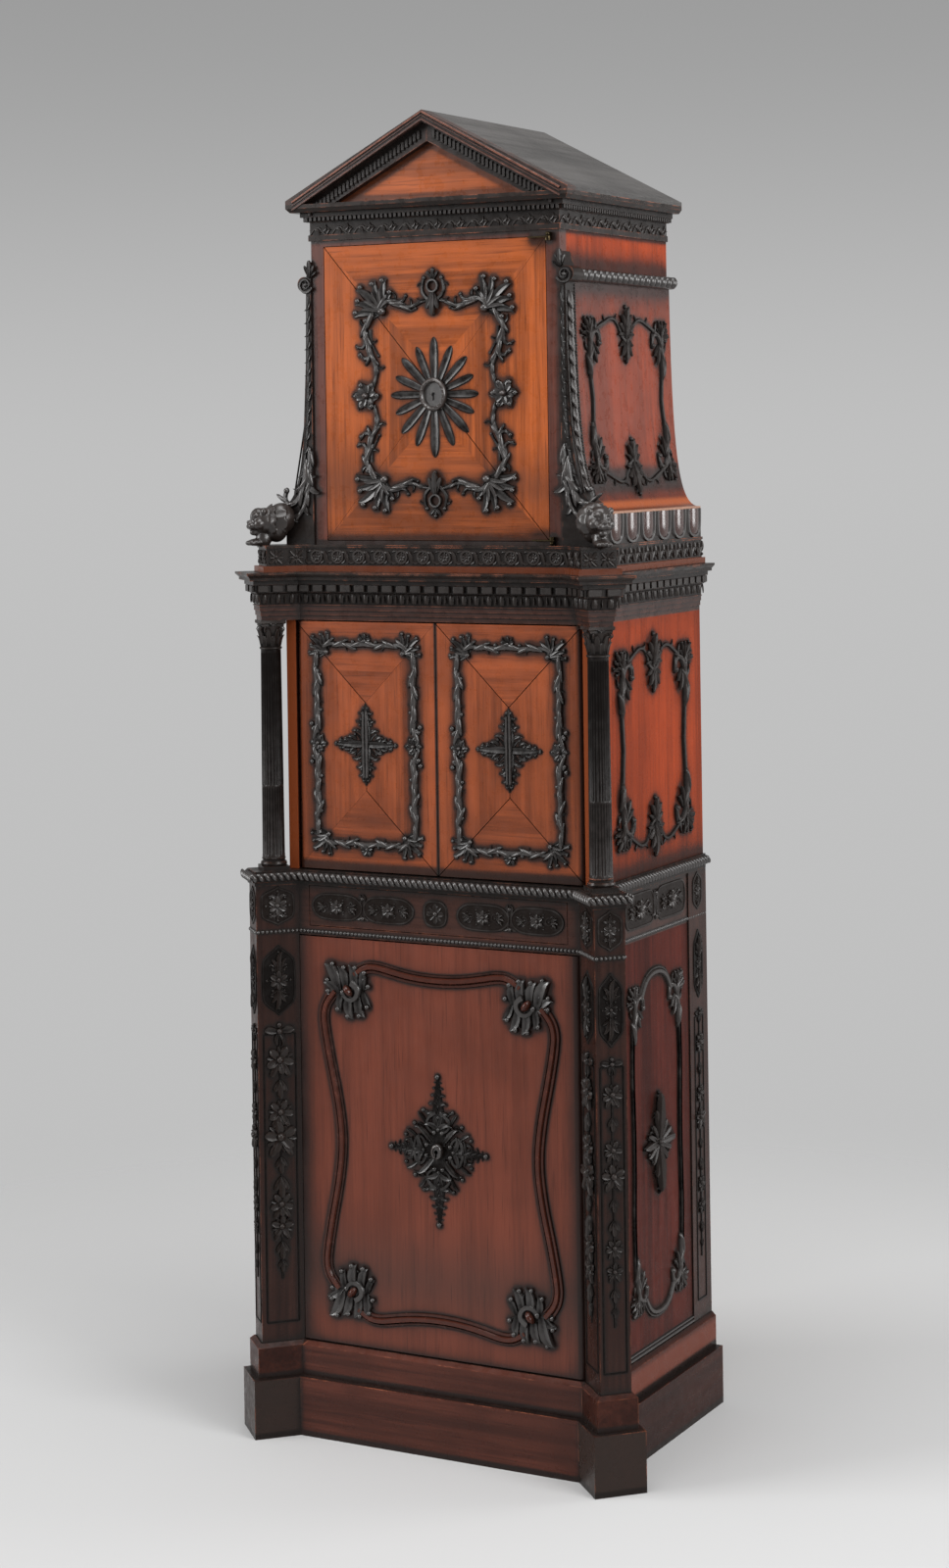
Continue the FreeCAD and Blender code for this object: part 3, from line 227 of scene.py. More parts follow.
def stamp(bag, motif, matrix):
    """Put a copy of a motif, with its own mesh, into a bag."""
    copy = motif.copy()
    copy.data = motif.data.copy()
    copy.data.transform(matrix)
    if matrix.is_negative:
        copy.data.flip_normals()
    bpy.context.scene.collection.objects.link(copy)
    bag.append(copy)
    return copy


def stamp_all(bag, unit, matrix):
    """Put a copy of everything in one bag into another."""
    for obj in unit:
        stamp(bag, obj, matrix)


def shift(unit, matrix):
    """Move everything in a bag together."""
    for obj in unit:
        obj.data.transform(matrix)
    return unit


def join(bag, name):
    """Join the copies in a bag to one piece."""
    deselect()
    for obj in bag:
        obj.select_set(True)
    bpy.context.view_layer.objects.active = bag[0]
    if len(bag) > 1:
        bpy.ops.object.join()
    bag[0].name = name
    return bag[0]


def carved(fill):
    """Give a function a new bag to fill, and join what it put there to a piece of the function's name."""
    def made(*sizes):
        bag = []
        fill(bag, *sizes)
        return join(bag, fill.__name__)
    return made


def mirror_copies(bag, across=True, updown=False):
    """Add the mirror image of everything in the bag."""
    for obj in list(bag):
        stamp(bag, obj, Matrix.Diagonal((-1 if across else 1, -1 if updown else 1, 1, 1)))


def quarter_copies(bag):
    """Add the mirror images that make four quarters of everything in the bag."""
    mirror_copies(bag, across=False, updown=True)
    mirror_copies(bag)


def discard(*objs):
    for obj in objs:
        bpy.data.objects.remove(obj)


def ground(x, y, z, right):
    """A face that carving lies on: its middle, and the direction to the right along it, seen from outside."""
    right = Vector(right).normalized()
    out = right.cross(UP)
    matrix = Matrix((right, UP, out)).transposed().to_4x4()
    matrix.translation = Vector((x, y, z))
    return matrix


def note_relief(obj, heights):
    """Note how far each point stands out of its ground, from 0 to 1, for the finish to read."""
    note = obj.data.attributes.new("relief", "FLOAT", "POINT")
    note.data.foreach_set("value", [min(max(height, 0.0), 1.0) for height in heights])


def settle(obj, name, place, body, material, relief=8.0, bend=None):
    """Let a carving into its ground, note the height of its relief, and give it its body and finish."""
    for vert in obj.data.vertices:
        vert.co.z = max(vert.co.z, -SINK)
    note_relief(obj, [vert.co.z / relief for vert in obj.data.vertices])
    if bend:
        for vert in obj.data.vertices:
            vert.co = bend(vert.co)
    obj.data.transform(Matrix.Scale(MM, 4) @ place)
    return give(obj, name, body, material)


def case_piece(obj, name, relief, finish):
    """Finish a piece drawn in its place on the case; relief tells how far a point stands out."""
    note_relief(obj, [relief(vert.co) for vert in obj.data.vertices])
    obj.data.transform(Matrix.Scale(MM, 4))
    return give(obj, name, "case", FINISH[finish])


def give(obj, name, body, material):
    """Name a finished piece and give it its body, slot and material."""
    obj.name = name
    obj.data.name = name
    obj.data.materials.clear()
    obj.data.materials.append(material)
    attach(obj, body)
    return obj


# Plans that the mouldings follow

def on_diagonal(out, across):
    return COLUMN.x + Q * (out + across), COLUMN.y + Q * (across - out)


def broken_run(side, front, face, half):
    """Corners of a moulding round the case, from left back to right back, broken out at the columns."""
    inner = on_diagonal(-half - (front - COLUMN.y) / Q, -half)
    outer = on_diagonal((side - COLUMN.x) / Q - half, half)
    right = [inner, on_diagonal(face, -half), on_diagonal(face, half), outer, (side, BACK)]
    return [(-x, y) for x, y in reversed(right)] + right


def along(run, pitch, z):
    """Places spaced along a run at about the pitch, each facing out, with its own share of the length."""
    for (x0, y0), (x1, y1) in zip(run, run[1:]):
        start, end = Vector((x0, y0, 0)), Vector((x1, y1, 0))
        way = (end - start).normalized()
        length = (end - start).length
        count = max(1, round(length / pitch))
        for k in range(count):
            spot = start + way * (length * (k + 0.5) / count)
            yield ground(spot.x, spot.y, z, way), length / count


# Finishes

def add(tree, kind, **settings):
    node = tree.nodes.new(kind)
    for key, value in settings.items():
        setattr(node, key, value)
    return node


def wire(tree, source, target):
    tree.links.new(source, target)


def math_node(tree, operation, a, b=None):
    node = add(tree, "ShaderNodeMath", operation=operation)
    for socket, value in zip(node.inputs, (a, b)):
        if value is None:
            continue
        if isinstance(value, (int, float)):
            socket.default_value = value
        else:
            wire(tree, value, socket)
    return node.outputs[0]


def blend(tree, factor, a, b):
    """Mix two colours."""
    node = add(tree, "ShaderNodeMix", data_type="RGBA")
    for socket, value in ((node.inputs[0], factor), (node.inputs[6], a), (node.inputs[7], b)):
        if isinstance(value, bpy.types.NodeSocket):
            wire(tree, value, socket)
        elif isinstance(value, (int, float)):
            socket.default_value = value
        else:
            socket.default_value = (*value[:3], 1)
    return node.outputs[2]


def rescale(tree, value, low, high, to_low=0.0, to_high=1.0):
    node = add(tree, "ShaderNodeMapRange", interpolation_type="SMOOTHSTEP")
    wire(tree, value, node.inputs[0])
    for socket, number in zip(node.inputs[1:5], (low, high, to_low, to_high)):
        socket.default_value = number
    return node.outputs[0]


def noise(tree, vector, scale, detail=3.0, roughness=0.55):
    node = add(tree, "ShaderNodeTexNoise")
    wire(tree, vector, node.inputs["Vector"])
    node.inputs["Scale"].default_value = scale
    node.inputs["Detail"].default_value = detail
    node.inputs["Roughness"].default_value = roughness
    return node.outputs["Fac"]


def stretched(tree, vector, scale):
    node = add(tree, "ShaderNodeMapping")
    node.inputs["Scale"].default_value = scale
    wire(tree, vector, node.inputs["Vector"])
    return node.outputs["Vector"]


GRAIN = {"X": (0.03, 1, 1), "Y": (1, 0.03, 1), "Z": (1, 1, 0.03)}      # stretch of the figure along an axis
DIRT_AND_SHADE_COLOUR = (0.011, 0.008, 0.007)                                          # colour of dirt and of painted shade


def start_material(name):
    material = bpy.data.materials.new(name)
    material.use_nodes = True
    tree = material.node_tree
    shader = tree.nodes["Principled BSDF"]
    place = add(tree, "ShaderNodeTexCoord").outputs["Object"]
    return material, tree, shader, place


def split(tree, vector):
    """The X, Y and Z of a vector."""
    parts = add(tree, "ShaderNodeSeparateXYZ")
    wire(tree, vector, parts.inputs[0])
    return parts.outputs


def roughen(tree, shader, height, strength, distance):
    """Shade the surface as if a height raised it."""
    bump = add(tree, "ShaderNodeBump")
    bump.inputs["Strength"].default_value = strength
    bump.inputs["Distance"].default_value = distance
    wire(tree, height, bump.inputs["Height"])
    wire(tree, bump.outputs[0], shader.inputs["Normal"])


def crossed_grain(tree, place, mitre):
    """Grain that runs along each of the four boards of a mitred door face."""
    middle_x, middle_z, half_x, half_z = (value * MM for value in mitre)
    x, _, z = split(tree, place)
    from_x = math_node(tree, "ABSOLUTE", math_node(tree, "SUBTRACT", x, middle_x))
    from_z = math_node(tree, "ABSOLUTE", math_node(tree, "SUBTRACT", z, middle_z))
    to_side = math_node(tree, "SUBTRACT", half_x, from_x)
    to_end = math_node(tree, "SUBTRACT", half_z, from_z)
    level = math_node(tree, "LESS_THAN", to_end, to_side)
    mix = add(tree, "ShaderNodeMix", data_type="VECTOR")
    wire(tree, level, mix.inputs[0])
    wire(tree, stretched(tree, place, GRAIN["Z"]), mix.inputs[4])
    wire(tree, stretched(tree, place, GRAIN["X"]), mix.inputs[5])
    return mix.outputs[1]


def zone(tree, place, axis, low, high, soft):
    """One within a band of places along an axis, in millimetres, fading out over the soft distance."""
    value = split(tree, place)["XYZ".index(axis)]
    above = rescale(tree, value, (low - soft) * MM, (low + soft) * MM)
    below = rescale(tree, value, (high - soft) * MM, (high + soft) * MM, 1, 0)
    return math_node(tree, "MULTIPLY", above, below)


def banded(tree, place, colour, bands):
    """Lay bands of colour, each (axis, low, high, soft, colour, share), one over the other."""
    for axis, low, high, soft, tint, share in bands:
        cover = math_node(tree, "MULTIPLY", zone(tree, place, axis, low, high, soft), share)
        colour = blend(tree, cover, colour, tint)
    return colour


def rubbed_edges(tree, place, colour, worn):
    """Polish worn through to paler wood along the edges."""
    edge = add(tree, "ShaderNodeBevel", samples=4)
    edge.inputs["Radius"].default_value = 0.0026
    turn = add(tree, "ShaderNodeVectorMath", operation="DOT_PRODUCT")
    wire(tree, edge.outputs[0], turn.inputs[0])
    wire(tree, add(tree, "ShaderNodeNewGeometry").outputs["Normal"], turn.inputs[1])
    patches = rescale(tree, noise(tree, place, 30, 4, 0.7), 0.46, 0.64)
    rubbed = math_node(tree, "MULTIPLY", rescale(tree, turn.outputs["Value"], 0.985, 0.86), patches)
    return blend(tree, rubbed, colour, worn)


def smoky(tree, place, colour, cloud, smoke, reach, full):
    """Dark colour against the carving and in corners, from ambient occlusion: partly dirt, partly painted
    shade.
    """
    shade = add(tree, "ShaderNodeAmbientOcclusion", samples=24)
    shade.inputs["Distance"].default_value = reach
    drift = math_node(tree, "MULTIPLY", math_node(tree, "SUBTRACT", cloud, 0.5), 0.12)
    near = math_node(tree, "ADD", shade.outputs["AO"], drift)
    return blend(tree, rescale(tree, near, 0.995, full, 0, smoke), colour, DIRT_AND_SHADE_COLOUR)


def wood(name, light, dark, grain="Z", mitre=None, smoke=0.9, reach=0.04, full=0.865, gloss=0.3, sheen=0.3,
         worn=None, bands=(), over=()):
    """Polished mahogany: bands of colour, then worn edges, then dirt and painted shade against the carving
    and in corners, then bands over these.
    """
    material, tree, shader, place = start_material(name)
    lay = crossed_grain(tree, place, mitre) if mitre else stretched(tree, place, GRAIN[grain])
    ribbon = noise(tree, lay, 24, 3, 0.6)
    streak = noise(tree, lay, 130, 5, 0.7)
    pores = noise(tree, lay, 450, 2, 0.5)
    cloud = noise(tree, place, 5.5, 3, 0.55)
    figure = math_node(tree, "MULTIPLY", math_node(tree, "ADD", ribbon, streak), 0.5)
    colour = blend(tree, rescale(tree, figure, 0.37, 0.6), dark, light)
    colour = blend(tree, rescale(tree, pores, 0.58, 0.74, 0, 0.5), colour, shaded(dark, 0.35))
    colour = blend(tree, rescale(tree, cloud, 0.42, 0.72, 0, 0.5), colour, shaded(dark, 0.7))
    colour = banded(tree, place, colour, bands)
    if worn:
        colour = rubbed_edges(tree, place, colour, worn)
    # Dirt and painted shade where ambient occlusion finds nearby carving or corners.
    if smoke:
        colour = smoky(tree, place, colour, cloud, smoke, reach, full)
    wire(tree, banded(tree, place, colour, over), shader.inputs["Base Color"])
    rough = rescale(tree, noise(tree, place, 60, 3, 0.6), 0.3, 0.75, gloss - 0.06, gloss + 0.12)
    wire(tree, rough, shader.inputs["Roughness"])
    height = math_node(tree, "ADD", pores, math_node(tree, "MULTIPLY", streak, 0.6))
    roughen(tree, shader, height, 0.08, 0.0006)
    shader.inputs["Specular IOR Level"].default_value = sheen
    return material


def carved_wood(name, deep, mid, rubbed, gloss, sheen):
    """Blackened carving: dark and dull in its hollows, partly dirt and partly painted shade, rubbed and shiny
    on its high places.
    """
    material, tree, shader, place = start_material(name)
    relief = add(tree, "ShaderNodeAttribute", attribute_name="relief").outputs["Fac"]
    mottle = noise(tree, place, 70, 4, 0.65)
    patches = math_node(tree, "MULTIPLY", math_node(tree, "SUBTRACT", mottle, 0.5), 0.5)
    height = math_node(tree, "ADD", relief, patches)
    # Darker towards the ground: dirt and painted shade in the hollows.
    colour = blend(tree, rescale(tree, height, 0.1, 0.6), deep, mid)
    colour = blend(tree, rescale(tree, height, 0.75, 1.15), colour, rubbed)
    wire(tree, colour, shader.inputs["Base Color"])
    wire(tree, rescale(tree, mottle, 0.3, 0.75, gloss - 0.06, gloss + 0.1), shader.inputs["Roughness"])
    roughen(tree, shader, noise(tree, place, 420, 3, 0.6), 0.15, 0.0008)
    wire(tree, rescale(tree, height, 0.05, 0.5, 0.1, sheen), shader.inputs["Specular IOR Level"])
    return material


def metal(name, bright, dull, gloss):
    material, tree, shader, place = start_material(name)
    tarnish = noise(tree, place, 240, 4, 0.65)
    wire(tree, blend(tree, rescale(tree, tarnish, 0.35, 0.68), bright, dull), shader.inputs["Base Color"])
    wire(tree, rescale(tree, tarnish, 0.3, 0.7, gloss, gloss + 0.25), shader.inputs["Roughness"])
    shader.inputs["Metallic"].default_value = 1.0
    return material


# Motifs, each modelled once, one unit long

BLADES = {
    "lobe": (((0, 0, 0, .07, .12), (0, .14, 0, .12, .2), (0, .34, 0, .155, .25), (0, .56, .02, .165, .26),
              (0, .76, .05, .15, .24), (0, .92, .08, .11, .18), (0, 1, .1, .045, .08)), .45),
    "hook": (((0, 0, 0, .09, .14), (0, .2, 0, .14, .22), (.03, .42, .01, .16, .26), (.1, .62, .03, .145, .25),
              (.22, .77, .05, .12, .22), (.36, .84, .07, .095, .18), (.45, .84, .08, .04, .08)), .5),
    "petal": (((0, 0, 0, .1, .1), (0, .25, 0, .26, .2), (0, .55, .02, .36, .26), (0, .8, .05, .3, .24),
               (0, .95, .07, .16, .15), (0, 1, .08, .04, .05)), .38),
    "finger": (((0, 0, 0, .05, .1), (0, .2, 0, .075, .16), (0, .45, .01, .09, .2), (.01, .68, .03, .088, .2),
                (.035, .85, .06, .062, .15), (.07, .95, .09, .034, .09), (.1, 1, .1, .01, .03)), .4),
    "spear": (((0, 0, 0, .07, .1), (0, .14, 0, .115, .16), (0, .3, 0, .125, .17), (0, .55, .01, .09, .14),
               (0, .8, .02, .045, .09), (0, 1, .03, .008, .02)), .45),
    "ray": (((0, 0, 0, .05, .06), (0, .3, 0, .064, .07), (0, .55, 0, .08, .075), (0, .76, 0, .086, .072),
             (0, .88, 0, .072, .062), (0, .96, 0, .042, .045), (0, 1, 0, .01, .02)), .36),
    "frond": (((0, 0, 0, .2, .1), (0, .25, .02, .26, .14), (0, .5, .05, .28, .16), (0, .72, .12, .26, .16),
               (0, .88, .22, .2, .14), (0, .97, .32, .13, .1), (0, 1, .38, .05, .05)), .45),
    "scale": (((0, 0, 0, .2, .08), (0, .3, .02, .36, .14), (0, .6, .06, .4, .17), (0, .85, .12, .26, .13),
               (0, 1, .16, .05, .04)), .6),
    "tongue": (((0, 0, 0, .2, .1), (0, .1, 0, .3, .24), (0, .4, 0, .32, .3), (0, .7, 0, .32, .3),
                (0, .9, 0, .28, .24), (0, 1, 0, .16, .1)), 1.0),
    "nulling": (((0, -.5, 0, .08, .06), (0, -.47, 0, .18, .15), (0, -.4, 0, .27, .24), (0, -.28, 0, .33, .31),
                 (0, 0, 0, .36, .34), (0, .5, 0, .36, .34)), 1.0, 20),
}
MOTIFS = {}


def motif(name):
    """A carver's motif, modelled on first use."""
    if name not in MOTIFS:
        if name in BLADES:
            MOTIFS[name] = blade("motif_" + name, *BLADES[name])
        elif name == "bead":
            MOTIFS[name] = dome("motif_bead")
        elif name == "boss":
            MOTIFS[name] = dome("motif_boss", 16, 10)
        elif name == "dentil":
            MOTIFS[name] = block_motif()
        elif name.startswith("rosette"):
            MOTIFS[name] = rosette_motif(int(name[-1]))
        elif name == "volute":
            MOTIFS[name] = volute_motif()
        elif name == "ring":
            circle = [(x, y, 0.26) for x, y in round_points(0, 0, 1, 12)]
            MOTIFS[name] = cord_line("motif_ring", circle, cyclic=True, along=2)
    return MOTIFS[name]


def put(bag, kind, *place, **turn):
    """Put a copy of a motif into a bag, where at() says."""
    return stamp(bag, motif(kind), at(*place, **turn))


def block_motif():
    """One dentil, a block of unit height with eased edges."""
    deselect()
    bpy.ops.mesh.primitive_cube_add(size=1, location=(0, 0, 0.5))
    obj = bpy.context.object
    bpy.ops.object.transform_apply(location=True)
    bpy.ops.object.mode_set(mode="EDIT")
    bpy.ops.mesh.select_all(action="SELECT")
    bpy.ops.mesh.bevel(offset=0.06, segments=1, affect="EDGES")
    return close_up(obj, "motif_dentil", 20)


def rosette_motif(petals):
    """A flower of unit radius."""
    bag = []
    for k in range(petals):
        put(bag, "petal", 0, 0, 1.0, 360 * k / petals, wide=0.95)
        put(bag, "lobe", 0, 0, 0.95, 360 * (k + 0.5) / petals, high=0.6)
    put(bag, "boss", 0, 0, 0.3, high=1.1)
    return join(bag, "motif_rosette")


def volute_motif():
    """A scroll end of unit radius, wound inwards from the right."""
    points = []
    for k in range(19):
        turn = k * math.pi / 6
        reach = 1 - k / 24
        points.append((reach * math.cos(turn), reach * math.sin(turn), 0.2 - 0.004 * k))
    bag = [cord_line("motif_volute", points, along=2)]
    put(bag, "bead", 0, 0, 0.26)
    return join(bag, "motif_volute")


def round_points(x, y, radius, count):
    """Points spaced evenly round a circle."""
    turns = [2 * math.pi * k / count for k in range(count)]
    return [(x + radius * math.cos(turn), y + radius * math.sin(turn)) for turn in turns]


def toward(x, y, heading, reach):
    """The point at a reach from another, by a heading in degrees to the left of up."""
    away = math.radians(heading)
    return x - math.sin(away) * reach, y + math.cos(away) * reach


def spots(wide, tall, shares, x=0, y=0):
    """Points about a middle, given as shares of a half width and a half height."""
    return [(x + wide * across, y + tall * up) for across, up in shares]


def sized(wide, tall, places, x=0, y=0):
    """Leaves about a middle, (x, y, heading, size), given in shares of a half width and a half height."""
    return [(x + wide * across, y + tall * up, heading, wide * size) for across, up, heading, size in places]


def lay_leaves(bag, kind, places, wide, high, lift=0.0):
    """Leaves of a kind at (x, y, heading, size), turned to the left where the size is negative."""
    for x, y, heading, size in places:
        put(bag, kind, x, y, abs(size), heading, math.copysign(wide, size), high, lift)


FAN = ((0, 1.0), (23, 0.86), (-23, 0.86), (46, 0.88), (-46, 0.88), (70, 0.6), (-70, 0.6))


def lobes(bag, places, wide, high):
    """Straight lobes."""
    lay_leaves(bag, "lobe", places, wide, high)


def curls(bag, places):
    """Curled lobes."""
    lay_leaves(bag, "hook", places, 1.2, 0.7)


def knobs(bag, points, radius):
    for x, y in points:
        put(bag, "bead", x, y, radius, high=1.2)


def fingers(bag, places, wide, high, lift=0.0):
    """Slender pointed leaves."""
    lay_leaves(bag, "finger", places, wide, high, lift)


def fan(bag, x, y, angle, size, high=0.42):
    """Leaves spread into a corner, with knobbed tips and shorter leaves lying over them."""
    for turn, share in FAN:
        fingers(bag, [(x, y, angle + turn, size * (-share if turn > 0 else share))], 1.45, high)
        tip = toward(x, y, angle + turn, size * share * 0.95)
        put(bag, "bead", *tip, size * 0.075, high=1.1, lift=size * 0.03)
    over = [(x, y, angle + turn, math.copysign(size * 0.62, -turn)) for turn in (-34, -11, 11, 34)]
    fingers(bag, over, 1.15, high * 1.3, size * 0.045)
    put(bag, "boss", x, y, size * 0.12, high=1.5)


def rib(bag, points, radius, cyclic=False):
    """A round rib through (x, y) points."""
    bag.append(cord_line("rib", [(x, y, radius) for x, y in points], cyclic))


def walk(points, spacing):
    """Places spaced along a line of points, with the heading there."""
    left = spacing / 2
    for (x0, y0), (x1, y1) in zip(points, points[1:]):
        length = math.hypot(x1 - x0, y1 - y0)
        heading = math.degrees(math.atan2(x0 - x1, y1 - y0))
        while left < length:
            share = left / length
            yield x0 + (x1 - x0) * share, y0 + (y1 - y0) * share, heading
            left += spacing
        left -= length


def offset_line(points, gap):
    """A line beside a line of points, to its left by the gap."""
    moved = []
    for k, (x, y) in enumerate(points):
        x0, y0 = points[max(k - 1, 0)]
        x1, y1 = points[min(k + 1, len(points) - 1)]
        length = math.hypot(x1 - x0, y1 - y0)
        moved.append((x - gap * (y1 - y0) / length, y + gap * (x1 - x0) / length))
    return moved


def stem(bag, points, thick, thin, knob=0.0, twisted=True):
    """A scrolling leaf stem, twisted along its length, that thins towards its knobbed end."""
    last = len(points) - 1
    line = [(x, y, thick + (thin - thick) * k / last) for k, (x, y) in enumerate(points)]
    bag.append(cord_line("stem", line))
    lumps = list(walk(points, thick * 3.2)) if twisted else []
    for k, (x, y, heading) in enumerate(lumps):
        local = thick + (thin - thick) * (k + 0.5) / len(lumps)
        side = 1 if k % 2 else -1
        lump = toward(x, y, heading + side * 90, local * 0.35)
        put(bag, "bead", *lump, local * 3.5, heading + side * 15, 0.22, 0.36)
    if knob:
        knobs(bag, [points[-1]], knob)


def knobbly(bag, points, core, spacing):
    """A bold twisted rail with a leaf lying along it now and then, to either side."""
    stem(bag, points, core, core * 0.92)
    for k, (x, y, heading) in enumerate(walk(points, spacing)):
        side = 1 if k % 2 else -1
        curls(bag, [(x, y, heading - side * 24, side * core * 2.6)])
        knobs(bag, [(x + side * core * 0.8, y + core)], core * 0.62)


# Settings

def colour_setting(name, description, value):
    return FloatVectorProperty(name=name, description=description, subtype="COLOR", size=3, min=0, max=1,
                               default=value)


def length_setting(name, description, value):
    return FloatProperty(name=name, description=description, unit="LENGTH", min=0, default=value * MM)


def power_setting(name, description, value):
    return FloatProperty(name=name, description=description, unit="POWER", min=0, default=value)


class CabinetFinishes(bpy.types.PropertyGroup):
    """Colours of the woods and metals."""
    top_wood: colour_setting("Top wood", "Panels of the top tier", (0.5, 0.115, 0.026))
    mid_wood: colour_setting("Middle wood", "Doors of the middle tier", (0.38, 0.088, 0.028))
    side_wood: colour_setting("Side wood", "Side panels of the two upper tiers", (0.44, 0.06, 0.012))
    base_wood: colour_setting("Base wood", "Door of the base", (0.185, 0.045, 0.024))
    # Partly painted shade: the base's sides are set darker than their wood, because the lamps light them
    # less.
    base_side_wood: colour_setting("Base side wood", "Side panels of the base", (0.09, 0.016, 0.01))
    frame_wood: colour_setting("Frame wood", "Plinth and posts", (0.1, 0.027, 0.016))
    bare_wood: colour_setting("Bare wood", "Edges worn through the polish", (0.5, 0.27, 0.18))
    rail_wood: colour_setting("Rail wood", "Drawer, frieze and architrave", (0.062, 0.024, 0.017))
    black_wood: colour_setting("Black wood", "Cornices, columns and consoles", (0.026, 0.018, 0.015))
    rubbed_wood: colour_setting("Rubbed wood", "Worn edges of the dark mouldings", (0.42, 0.13, 0.065))
    roof_wood: colour_setting("Roof wood", "Boards of the roof", (0.085, 0.08, 0.077))
    inner_wood: colour_setting("Inner wood", "Trays, drawer and inside", (0.30, 0.13, 0.055))
    brass: colour_setting("Brass", "Hinges and pins", (0.055, 0.041, 0.022))
    iron: colour_setting("Iron", "Locks and bolts", (0.2, 0.19, 0.18))
    floor: colour_setting("Floor", "Studio floor", (0.57, 0.57, 0.57))


class CabinetCarving(bpy.types.PropertyGroup):
    """Counts and spacings of the ornament."""
    flutes: IntProperty(name="Flutes", description="Flutes on each column", min=8, max=40, default=24)
    rays: IntProperty(name="Rays", description="Rays of the sunburst", min=6, max=32, default=16)
    dentil_pitch: length_setting("Dentil spacing", "Spacing of the middle cornice's dentils", 24)
    top_dentil_pitch: length_setting("Top dentil spacing", "Spacing of the pediment's dentils", 7.8)
    leaf_pitch: length_setting("Leaf spacing", "Spacing of the leaves under the middle cornice", 21)
    gadroon_pitch: length_setting("Gadroon spacing", "Spacing of the gadroons round the waist", 10)
    bead_pitch: length_setting("Bead spacing", "Spacing of the beads under the frieze", 6.5)
    tongue_pitch: length_setting("Tongue spacing", "Spacing of the tongues at the top tier's foot", 54)
    reed_pitch: length_setting("Reed spacing", "Spacing of the reeds on the top tier's side bands", 20)


class CabinetStudio(bpy.types.PropertyGroup):
    """Lights of the studio."""
    key: power_setting("Key light", "Power of the left softbox", 196)
    fill: power_setting("Fill light", "Power of the right softbox", 120)
    rear: power_setting("Rear light", "Power of the softbox behind on the right", 60)
    top: power_setting("Top light", "Power of the softbox above", 110)
    room: FloatProperty(name="Room light", description="Strength of the even light all round", min=0,
                        default=0.28)


def finishes():
    return bpy.context.scene.cabinet_finishes


def carving():
    return bpy.context.scene.cabinet_carving


# Woods, carvings and metals

FINISH = {}


def shaded(colour, share):
    return tuple(channel * share for channel in colour)


def mitred(door):
    """Middle and half sizes of a mitred door's face."""
    low, high = edges(door)
    return (low.x + high.x) / 2, (low.z + high.z) / 2, (high.x - low.x) / 2, (high.z - low.z) / 2


def darker_below(door, share):
    """A band that darkens the lower part of a door."""
    low, high = edges(door)
    tall = high.z - low.z
    return (("Z", low.z + tall * 0.1, low.z + tall * 0.26, tall * 0.1, shaded(DIRT_AND_SHADE_COLOUR, 3), share),)


def polish(key, name, colour, light=1.0, dark=0.45, **look):
    """Make a wood from a chosen colour; its light and dark streaks are shares of it."""
    FINISH[key] = wood(name, shaded(colour, light), shaded(colour, dark), **look)


def door_woods(f):
    """Woods of the doors, darker towards their feet, and black where the middle doors meet."""
    meeting = ("X", -3, 3, 1.5, DIRT_AND_SHADE_COLOUR, 0.95)
    polish("top_door", "top_panel", f.top_wood, mitre=mitred("top_door"), reach=0.045, full=0.89, sheen=0.2,
           bands=darker_below("top_door", 0.4))
    for door in ("mid_door_left", "mid_door_right"):
        polish(door, door.replace("door", "panel"), f.mid_wood, mitre=mitred(door), reach=0.02, full=0.89,
               bands=darker_below(door, 0.15) + (meeting,))
    polish("base_door", "base_panel", f.base_wood, dark=0.7, gloss=0.34, reach=0.05,
           bands=darker_below("base_door", 0.55))


def side_woods(f):
    """Woods of the side panels and the gable; the middle sides' front edges match the doors."""
    front_edge = ("Y", -1000, MID_FRONT + 1.5, 0.5, shaded(f.mid_wood, 0.8), 0.9)
    polish("side", "side_panel", f.side_wood, 1.05, 0.52, reach=0.045, sheen=0.1)
    polish("mid_side", "mid_side_panel", f.side_wood, 0.82, 0.42, reach=0.06, full=0.93, sheen=0.08,
           over=(front_edge,))
    polish("gable", "gable_panel", f.top_wood, 1.15, 0.55, grain="X", smoke=0.7, reach=0.014)
    polish("base_side", "base_side_panel", f.base_side_wood, dark=0.4, reach=0.07, sheen=0.06)


def apron_wood(f):
    """The top tier's aprons: black foot and band, a darker band in the hollow between them, a painted orange
    reflection above the foot and a bright worn edge.
    """
    foot = APRON_LOW.z + APRON_FOOT
    band = APRON_HIGH.z - APRON_BAND
    black_foot = ("Z", 0, foot, 1, f.black_wood, 1)
    black_band = ("Z", band, 3000, 1, f.black_wood, 1)
    # A darker band up the hollow.
    hollow = ("Z", foot + 26, foot + 66, 8, DIRT_AND_SHADE_COLOUR, 0.85)
    # Painted reflection: an orange strip where the flare faces up towards the lamps.
    painted_reflection = ("Z", foot + 4, foot + 15, 4, shaded(f.top_wood, 0.8), 0.75)
    edge = ("Z", foot - 2.5, foot + 1.5, 0.8, f.bare_wood, 0.75)
    polish("apron", "apron_panel", f.side_wood, 0.6, 0.34, reach=0.06, bands=(black_foot, black_band, hollow),
           over=(painted_reflection, edge))


